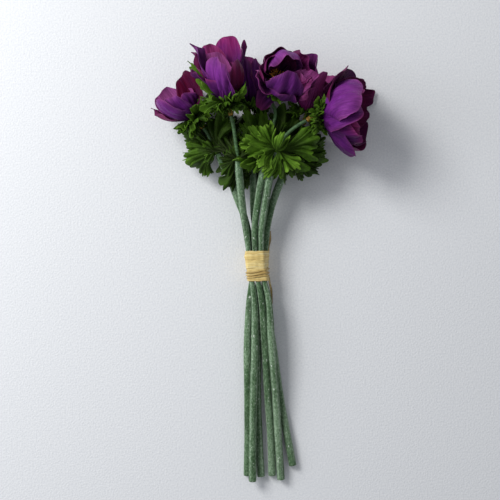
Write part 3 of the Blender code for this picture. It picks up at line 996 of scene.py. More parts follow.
@dataclass(frozen=True)
class CutLeaf:
    """A lobed leaf or bract cut from cloth and bent.

    Attributes:
        heading: the way it points in the plane of the table, or its azimuth on a head, in degrees.
        rise: angle above the table, or between it and the head's axis, in degrees.
        length: from its root to the tip of its middle lobe.
        spread: the angle between its outermost lobes' sides, in degrees.
        lobes: how many lobes.
        cut: how deep the cuts between lobes go, as a share of the length.
        side: length of the outermost lobes over the middle one's.
        bend: how far the blade turns down from root to tip, in degrees.
        roll: how far it is turned about its own length, in degrees.
        pleat: height of the arch of each lobe.
        ruffle: height of the waves along its rim.
        bright: painted light and shade, how light its green is painted by how it lies in the light, 0 to 1.
    """

    heading: float
    rise: float
    length: float
    spread: float = 210.0
    lobes: int = 5
    cut: float = 0.55
    side: float = 0.7
    bend: float = 45.0
    roll: float = 0.0
    pleat: float = 2.0
    ruffle: float = 1.4
    bright: float = 0.5

    def patch(self, root: Array, forward: Array, up: Array, seed: int, walls: list) -> Patch:
        """The leaf as a thin shell.

        Its outline is a fan about the root: the reach at an angle is the length, less towards the sides,
        times the lobes' rounded cosine and the teeth's. Along each ray the blade bends on an arc. Lobes
        arch along their own middle and the rim waves.

        Args:
            root: where it starts.
            forward: the way its middle lobe leaves the root.
            up: the way its upper face looks.
            seed: which random waves.
            walls: planes that it may not pass.

        Returns:
            The shell as a patch.
        """
        angle, along = share_grid(self.lobes * LEAF_COLUMNS_PER_LOBE + 1, LEAF_ROWS)
        along = 0.04 + 0.96 * along
        lobe = (angle + 1) / 2 * self.lobes
        lobe = lobe + 0.16 * np.sin(2 * math.pi * lobe / self.lobes + seed)
        local = (lobe - 0.001) % 1.0 - 0.5
        round_lobe = np.abs(np.cos(math.pi * local)) ** 0.55
        teeth = np.abs(np.cos(math.pi * 2.5 * local + 0.3 * math.sin(seed))) ** 0.8
        reach = self.length * (1 - (1 - self.side) * np.abs(angle) ** 1.3)
        reach = reach * (1 - self.cut * (1 - round_lobe)) * (1 - 0.17 * (1 - teeth) * round_lobe)
        reach = reach * (1 + 0.12 * wobble(angle * 1.6, along * 0.0, seed))
        turn = angle - 0.06 * np.sin(2 * math.pi * lobe) * along / self.lobes
        turn = math.radians(self.spread / 2) * turn
        turn = turn * (0.35 + 0.75 * along) + 0.18 * along**2 * math.sin(seed * 1.3)
        bend = math.radians(self.bend) * along * (1 + 0.5 * wobble(angle * 1.2, along * 0.3, seed + 7)) + 1e-4
        ray = reach * along
        outwards, down = ray * np.sin(bend) / bend, ray * (1 - np.cos(bend)) / bend
        lift = self.pleat * along * (np.cos(2 * math.pi * local) - 0.3)
        lift *= smoothstep(0.15, 0.9, ray / self.length)
        lift += self.ruffle * along**2.5 * np.sin(lobe * 2 * math.pi * 1.5 + seed)
        lift += self.ruffle * 1.1 * along**2 * wobble(angle * 1.5, along * 1.2, seed + 13)
        lift += self.pleat * 0.8 * along * (0.4 - np.abs(angle))
        side_way = np.cross(forward, up)
        roll = math.radians(self.roll)
        side_way, up = (side_way * math.cos(roll) + up * math.sin(roll),
                        up * math.cos(roll) - side_way * math.sin(roll))
        points = root + forward * (outwards * np.cos(turn))[..., None]
        points = points + side_way * (outwards * np.sin(turn))[..., None] + up * (lift - down)[..., None]
        vein = np.exp(-((local / 0.035) ** 2)) * (1 - 0.6 * along)
        branch = np.maximum(0, np.cos(2 * math.pi * (along * 5 + np.abs(local) * 6))) ** 14
        rim = along**12
        # Painted light and shade: lighter towards the tips, a painted highlight along the rim and painted
        # shade near the root; the under face is painted a little darker, as painted shade.
        shading = self.bright + 0.26 * along - 0.22 * (1 - along) ** 1.5 + 0.16 * rim
        face = {"bright": shading, "vein": np.clip(0.35 * vein + 0.1 * branch, 0, 1)}
        under = {"bright": shading - 0.08, "vein": 0.5 * face["vein"]}
        cloth = np.stack([ray * np.sin(turn), ray * np.cos(turn)], axis=-1)
        thickness = np.full(ray.shape, LEAF_THICKNESS)
        return thick_sheet(pressed(points, walls), thickness, under, face, cloth)


class Layer(Enum):
    """The two layers of petals of a flower."""

    OUTER = "outer"
    INNER = "inner"


@dataclass
class Head:
    """A flower head: its petals, its ruff and its heart.

    Attributes:
        base: top of the neck, under the flower.
        axis: the way the flower faces.
        press: how far up the axis its ball is centred, and the ball's radius.
        outer: petals of the lower layer.
        inner: petals of the upper layer.
        ruff: bracts under the petals.
    """

    base: tuple
    axis: tuple
    press: tuple
    outer: list
    inner: list
    ruff: list
    frame: Array = field(init=False)

    def __post_init__(self) -> None:
        """Works out the head's frame."""
        self.base = np.asarray(self.base, float)
        self.frame = head_frame(self.axis)

    def petals(self, name: str, layer: Layer, walls: list, cloth: Material, seed: int) -> None:
        """One layer of petals as one piece.

        Args:
            name: flower.
            layer: which layer.
            walls: where the neighbouring heads begin.
            cloth: its finish.
            seed: seed of its ruffles.
        """
        kind = layer.value
        petals = self.outer if layer is Layer.OUTER else self.inner
        patches = [p.patch(self.frame, self.base, walls, seed + i * 3) for i, p in enumerate(petals)]
        piece_from(f"{name}_{kind}_petal_cloth", patches, cloth, f"{name}_{kind}_petals")

    def bracts(self, name: str, walls: list, cloth: Material, seed: int) -> None:
        """The curly green ruff under the petals as one piece.

        Args:
            name: flower.
            walls: planes that it may not pass.
            cloth: its finish.
            seed: which random waves.
        """
        patches = []
        for i, bract in enumerate(self.ruff):
            turn, slope = math.radians(bract.heading), math.radians(bract.rise)
            out_way = outwards(self.frame, turn)
            forward = out_way * math.sin(slope) + self.frame[2] * math.cos(slope)
            up = self.frame[2] * math.sin(slope) - out_way * math.cos(slope)
            root = self.base + out_way * 1.2 + self.frame[2] * 0.6
            patches.append(bract.patch(root, forward, up, seed + i * 5, walls))
        piece_from(f"{name}_ruff", patches, cloth, f"{name}_calyx")

    def heart(self, name: str, finishes: Finishes, seed: int) -> None:
        """The beaded button and the stamens round it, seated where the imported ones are.

        Args:
            name: flower.
            finishes: every finish.
            seed: which random threads.
        """
        low, high = (np.array(corner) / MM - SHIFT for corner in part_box(f"{name}_button"))
        centre, radius = (low + high) / 2, float((high - low).max()) / 2
        beads = []
        for i in range(BEADS):
            height = 1 - 0.95 * (i + 0.5) / BEADS
            way = outwards(self.frame * math.sqrt(1 - height**2), i * GOLDEN_ANGLE)
            place = centre + (way + self.frame[2] * (height - 0.5)) * radius * 0.82
            beads.append(blob(place, np.full(3, radius * 0.2), self.frame, 0.35 * (i % 5 == 0)))
        core = centre - self.frame[2] * radius * 0.4
        beads.append(blob(core, np.full(3, radius * 0.78), self.frame, 0.0, rings=7, sides=14))
        piece_from(f"{name}_bead_button", beads, finishes.button, f"{name}_button")
        draw = np.random.default_rng(seed)
        threads = []
        for i in range(THREADS):
            turn = i * GOLDEN_ANGLE + draw.uniform(-0.1, 0.1)
            lean = draw.uniform(0.25, 0.75)
            way = outwards(self.frame, turn)
            foot = centre + way * radius * draw.uniform(0.8, 1.05) - self.frame[2] * radius * 0.45
            reach = radius * draw.uniform(1.0, 1.75)
            bow = way * math.sin(lean) + self.frame[2] * math.cos(lean)
            middle = foot + (way * 0.3 + self.frame[2]) * reach * 0.5
            tip = foot + bow * reach * 1.05
            line = smooth_line([foot, middle, tip], 5)
            thread = tube(line, np.array([0.16, 0.13, 0.12, 0.11, 0.1]), 4)
            thread.values = {"tip": np.zeros(len(thread.points))}
            threads.append(thread)
            size = draw.uniform(0.34, 0.5)
            threads.append(blob(tip, np.array([size, size, size * 1.7]), head_frame(bow), 1.0, rings=3))
        piece_from(f"{name}_stamen_threads", threads, finishes.stamen, f"{name}_stamens")

    def build(self, name: str, walls: list, finishes: Finishes, seed: int) -> None:
        """All the pieces of the head.

        Args:
            name: flower.
            walls: planes that it may not pass.
            finishes: every finish.
            seed: first seed of the flower.
        """
        self.petals(name, Layer.OUTER, walls, finishes.petal, seed)
        self.petals(name, Layer.INNER, walls, finishes.petal, seed + 200)
        self.bracts(name, walls, finishes.leaf, seed + 400)
        self.heart(name, finishes, seed + 600)


@dataclass
class Stem:
    """A flocked stem, its leaf whorl, its stalk and its taped neck.

    Attributes:
        route: middle line of the thick stem, from its cut end to its top.
        stalk: points of the thin stalk above it.
        leaves: blades of the whorl.
        neck: the way the neck comes in, where that isn't the head's axis.
    """

    route: list
    stalk: list
    leaves: list
    neck: tuple | None = None

    @staticmethod
    def radius_at(y: Array) -> Array:
        """The stem's radius, squeezed round y = 0 by a bell curve."""
        squeeze = np.exp(-((y / STEM_SQUEEZE_REACH) ** 2))
        return STEM_RADIUS - (STEM_RADIUS - STEM_RADIUS_AT_TIE) * squeeze

    def foam(self, name: str, cloth: Material, seed: int) -> None:
        """The thick stem: an uneven skin with two seams, and a cut end that shows foam and wire.

        Args:
            name: flower.
            cloth: its finish.
            seed: which dents.
        """
        steps, sides = STEM_GRID
        line = smooth_line(self.route, steps)
        along = np.linspace(0, 1, len(line))
        angle = circle(sides)
        radii = self.radius_at(line[:, 1]) * (1 - 0.2 * smoothstep(0.965, 1.0, along))
        dents = wobble(along[:, None] * 16, np.cos(angle)[None] * 0.8, seed)
        seams = (2.5 + 0.5 * math.sin(seed), 0.75 + 0.3 * math.cos(seed))
        seam = np.maximum(*(np.exp(-((angle - math.pi / 2 - place) / SEAM_WIDTH) ** 2) for place in seams))
        radii = radii[:, None] * (1 - 0.022 + 0.022 * dents + 0.035 * seam[None])
        ends = ((0.93, 0.18, 0.0), (0.86, 0.2, 1.0), (0.3, 0.05, 1.0), (0.26, 0.3, 2.0))
        rod = tube(line, radii, sides, end_rings=ends)
        rod.values["seam"] = np.tile(seam, len(rod.points) // sides)
        piece_from(f"{name}_flocked_stem", [rod], cloth, f"{name}_stem", sharp=50.0)

    def whorl(self, name: str, cloth: Material, seed: int) -> None:
        """The leaves and the collar that joins them on the stem's top.

        Args:
            name: flower.
            cloth: their finish.
            seed: which random waves.
        """
        top = np.asarray(self.route[-1], float)
        hub_axis = unit(np.asarray(self.stalk[0], float) - top)
        hub = top + hub_axis * HUB_RISE
        patches = []
        for i, leaf in enumerate(self.leaves):
            turn, lift = math.radians(leaf.heading), math.radians(leaf.rise)
            flat = math.cos(lift)
            forward = np.array([math.cos(turn) * flat, math.sin(turn) * flat, math.sin(lift)])
            up = np.cross(unit(np.cross(forward, UP)), forward)
            root = hub + unit(forward - hub_axis * (forward @ hub_axis)) * HUB_RADIUS
            patches.append(leaf.patch(root, forward, up, seed + i * 11, [TABLE_WALL]))
        heights = np.array([-1.9, -0.8, 0.8, 1.9])
        collar = tube(hub + hub_axis * heights[:, None], np.array([2.7, 3.1, 2.6, 1.75]), 20)
        collar.values = {"bright": np.full(len(collar.points), 0.35), "vein": np.zeros(len(collar.points))}
        piece_from(f"{name}_leaf_whorl", [*patches, collar], cloth, f"{name}_leaves")

    @staticmethod
    def wound(line: Array, radius: float | Array, sides: int, turns: float, lap: float,
              dark: float) -> Patch:
        """A rod wound with a strip, which rises a little where it laps over its last turn.

        Args:
            line: middle points, one per row.
            radius: radius over the strip, one number or one per point.
            sides: corners of the circle.
            turns: how many turns.
            lap: the part of a turn over which it rises.
            dark: how dark the lap is.

        Returns:
            The rod, with its value turn.
        """
        step = smoothstep(0.0, lap, np.linspace(0, turns, len(line)) % 1.0)
        return tube(line, radius * (0.95 + 0.05 * step), sides, {"turn": dark * (1 - step)})

    def carrier(self, name: str, head: Head, finishes: Finishes) -> None:
        """The wrapped stalk and the taped neck that carry the head.

        Args:
            name: flower.
            head: the head that they carry.
            finishes: every finish.
        """
        axis = head.frame[2]
        neck_way = unit(np.asarray(self.neck, float)) if self.neck else axis
        top = head.base - axis * 0.3
        middle = top - axis * NECK_LENGTH / 2
        foot = middle - neck_way * NECK_LENGTH / 2
        stem_top = np.asarray(self.route[-1], float)
        start = stem_top + unit(np.asarray(self.stalk[0], float) - stem_top) * 0.3
        steps, sides = STALK_GRID
        line = smooth_line([start, *self.stalk, foot - neck_way * 4.6, foot - neck_way * 0.6], steps)
        length = np.linalg.norm(np.diff(line, axis=0), axis=1).sum()
        stalk = self.wound(line, STALK_RADIUS, sides, length / WRAP_PITCH, lap=0.35, dark=0.55)
        piece_from(f"{name}_wrapped_stalk", [stalk], finishes.stalk, f"{name}_stalk")
        steps, sides = NECK_GRID
        line = smooth_line([foot, middle, top], steps)
        swell = np.interp(np.linspace(0, 1, len(line)), [0, 0.12, 0.5, 0.85, 1], [0.8, 0.97, 1.0, 0.97, 0.8])
        neck = self.wound(line, NECK_RADIUS * swell, sides, NECK_TURNS, lap=0.4, dark=0.45)
        piece_from(f"{name}_taped_neck", [neck], finishes.tape, f"{name}_neck_tape")

    def build(self, name: str, head: Head, finishes: Finishes, seed: int) -> None:
        """All the pieces below the head.

        Args:
            name: flower.
            head: the head on the stem.
            finishes: every finish.
            seed: first seed of the stem.
        """
        self.foam(name, finishes.stem, seed)
        self.whorl(name, finishes.leaf, seed + 50)
        self.carrier(name, head, finishes)


# ---------------------------------------------------------------- the tie


@dataclass
class Tie:
    """The raffia wound round the stems, with its two loose ends.

    Attributes:
        stems: the stems that it holds.
        half_length: half the length of stem that it covers.
        turns: each turn as (place along the stems, slant, half width, how far out, brown).
        up: route of the end that points to the flowers.
        down: route of the end that points to the cut ends.
    """

    stems: list
    half_length: float = 12.0
    turns: tuple = (
        (9.9, 0.5, 2.1, 0.25, 0.0), (6.9, -0.4, 2.3, 0.55, 0.05), (3.6, 0.5, 2.4, 0.35, 0.0),
        (0.4, 0.3, 2.3, 0.6, 0.1), (-2.6, -0.2, 2.1, 0.3, 0.0), (-5.2, 0.4, 1.6, 0.55, 0.15),
        (-7.4, -0.3, 1.5, 0.4, 0.3), (-10.0, 0.1, 1.9, 0.45, 0.05), (-4.2, 1.7, 0.6, 1.25, 0.45),
        (-6.4, 1.2, 0.55, 1.3, 0.35), (-8.4, 0.7, 0.5, 1.1, 0.3),
    )
    up: tuple = ((9.4, 10.4, 8.8), (9.6, 15.5, 7.6), (10.8, 21.0, 8.2), (10.9, 27.5, 9.4))
    down: tuple = ((9.2, -7.5, 12.4), (10.3, -12.5, 11.0), (11.9, -21.0, 8.0), (12.6, -30.0, 5.8))

    def outline(self, y: Array, angle: Array) -> tuple:
        """Middle and reach of a tight loop round the stems.

        The reach in a direction is the least, over all tangent lines, of the line's distance from the
        middle over the cosine of the angle between them.

        Args:
            y: place along the stems.
            angle: direction in the cross-section, the same shape as y.

        Returns:
            Middle x, middle z and reach, each of that shape.
        """
        routes = [np.asarray(stem.route, float) for stem in self.stems]
        x = np.stack([np.interp(y, r[:, 1], r[:, 0]) for r in routes], axis=-1)
        z = np.stack([np.interp(y, r[:, 1], r[:, 2]) for r in routes], axis=-1)
        middle_x, middle_z = x.mean(-1), z.mean(-1)
        radius = Stem.radius_at(y)
        reach = np.full(y.shape, np.inf)
        from_x, from_z = x - middle_x[..., None], z - middle_z[..., None]
        for normal in np.radians(np.arange(0, 360, 5)):
            support = from_x * math.cos(normal) + from_z * math.sin(normal)
            cosine = np.cos(angle - normal)
            distance = (support.max(-1) + radius) / np.maximum(cosine, 0.2)
            reach = np.where(cosine > 0.2, np.minimum(reach, distance), reach)
        return middle_x, middle_z, reach

    def turn(self, index: int, place: float, slant: float, half: float, out: float, brown: float) -> Patch:
        """One turn: a flattened oval carried round the stems' outline.

        Args:
            index: its number, which sets its random waves.
            place: where it lies along the stems.
            slant: how far its right side lies nearer the flowers.
            half: half its width.
            out: how far it stands off the stems.
            brown: how brown it is.

        Returns:
            The turn as a patch.
        """
        around, corners = TURN_GRID
        t, c = np.meshgrid(circle(around) - math.pi / 2, circle(corners), indexing="ij")
        width = half * (1 + 0.16 * wobble(np.cos(t) * 1.2, np.sin(t) * 1.2, index * 3))
        thick = 0.26 + 0.14 * (half < 1.0)
        across = np.sign(np.cos(c)) * np.abs(np.cos(c)) ** 0.7 * width
        y = place + slant * np.cos(t) + 0.35 * wobble(np.cos(t), np.sin(t), index * 5 + 1) + across
        y = np.clip(y, -self.half_length + 0.15, self.half_length - 0.15)
        middle_x, middle_z, reach = self.outline(y, t)
        lift = 0.55 + out + 0.15 * wobble(np.cos(t) * 1.5, np.sin(t) * 1.5, index * 7 + 2)
        ripple = 0.1 * np.sin(across * 4.5 + 2 * np.cos(t + index)) - 0.1 * (across / width) ** 4
        radial = reach + lift + np.sin(c) * thick + ripple
        rings = np.stack([middle_x + radial * np.cos(t), y, middle_z + radial * np.sin(t)], axis=-1)
        edge = np.abs(across / width) ** 6
        values = {"brown": brown + 0.35 * edge + 0.12 * wobble(np.cos(t) * 2, np.sin(t) * 2, index)}
        cloth = np.stack([t * 10.0 + index * 13.0, across + index * 7.0], axis=-1)
        return loops_through(rings, values, cloth)

    @staticmethod
    def tail(route: tuple, seed: int) -> Patch:
        """A loose end: a thin strip along its route that twists and narrows.

        Args:
            route: points along its middle.
            seed: how it is twisted.

        Returns:
            The strip as a patch.
        """
        line = smooth_line(route, TAIL_GRID[1])
        across, along = share_grid(*TAIL_GRID)
        twist = 0.9 * np.sin(along * 4 + seed)
        width = 1 - 0.55 * along**2
        side_way = np.stack([np.cos(twist), np.zeros_like(twist), np.sin(twist)], axis=-1)
        points = line[None] + side_way * (across * width)[..., None]
        points[..., 2] += 0.15 * np.sin(across * 5 + along * 6)
        values = {"brown": 0.35 + 0.4 * along + 0.2 * np.abs(across) ** 4}
        cloth = np.stack([along * 20.0, across * width], axis=-1)
        return thick_sheet(points, np.full(along.shape, TAIL_THICKNESS), values, values, cloth)

    def build(self, raffia: Material) -> None:
        """The wound band and its two ends.

        Args:
            raffia: their finish.
        """
        turns = [self.turn(i, *numbers) for i, numbers in enumerate(self.turns)]
        piece_from("raffia_wound_band", turns, raffia, "raffia_band", sharp=70.0)
        piece_from("raffia_end_up", [self.tail(self.up, 1)], raffia, "raffia_tail_up")
        piece_from("raffia_end_down", [self.tail(self.down, 4)], raffia, "raffia_tail_down")


# ---------------------------------------------------------------- the bunch's tables


def spray(heading: float, rise: float, length: float, bright: float, seed: int, gap: float = 48.0) -> list:
    """A leaf of three cut lobes, each a blade of its own that starts at the same root.

    Args:
        heading: the way its middle lobe points, in degrees.
        rise: its angle above the table.
        length: how long it is, give or take a tenth.
        bright: how light it is painted, as painted light and shade, likewise.
        seed: which random lobes.
        gap: angle between one lobe and the next.

    Returns:
        The three blades.
    """
    draw = np.random.default_rng(seed)
    blades = []
    for side, share in ((0, 1.0), (-1, 0.82), (1, 0.82)):
        blades.append(CutLeaf(
            heading + side * gap + draw.uniform(-8, 8), rise - abs(side) * 8 + draw.uniform(-10, 10),
            length * share * draw.uniform(0.88, 1.12), spread=draw.uniform(54, 70), lobes=3,
            cut=draw.uniform(0.16, 0.32), side=0.78, bend=draw.uniform(10, 60), roll=draw.uniform(-28, 28),
            pleat=draw.uniform(1.2, 2.2), ruffle=draw.uniform(1.6, 2.8),
            bright=bright + draw.uniform(-0.12, 0.12)))
    return blades


def hood(heading: float, bright: float, seed: int) -> list:
    """Two short blades that stand up by the stalk and hide the collar.

    Args:
        heading: the way the first one points, in degrees.
        bright: how light it is painted, as painted light and shade.
        seed: which way the second one is turned.

    Returns:
        The two blades.
    """
    return [
        CutLeaf(heading, 52, 14, spread=95, lobes=3, cut=0.3, bend=95, ruffle=2.0, bright=bright),
        CutLeaf(heading + 105, 44, 13, spread=95, lobes=3, cut=0.3, bend=90, roll=12.0 * (-1) ** seed,
                ruffle=2.0, bright=bright - 0.1),
    ]


def ruff(count: int, start: float, length: float, rise: float, seed: int, bright: float = 0.5) -> list:
    """Bracts round a head, each a little longer or shorter and more or less curled.

    Args:
        count: how many.
        start: azimuth of the first one, in degrees.
        length: about how long they are.
        rise: angle between them and the head's axis.
        seed: which random bracts.
        bright: about how light they are painted, as painted light and shade.

    Returns:
        The bracts.
    """
    draw = np.random.default_rng(seed)
    return [
        CutLeaf(start + i * 360 / count + draw.uniform(-8, 8), rise + draw.uniform(-10, 10),
                length * draw.uniform(0.8, 1.12), spread=105, lobes=5, cut=0.5, side=0.62,
                bend=draw.uniform(-70, 60), roll=draw.uniform(-25, 25), pleat=1.4, ruffle=1.6,
                bright=bright + draw.uniform(-0.1, 0.2))
        for i in range(count)
    ]


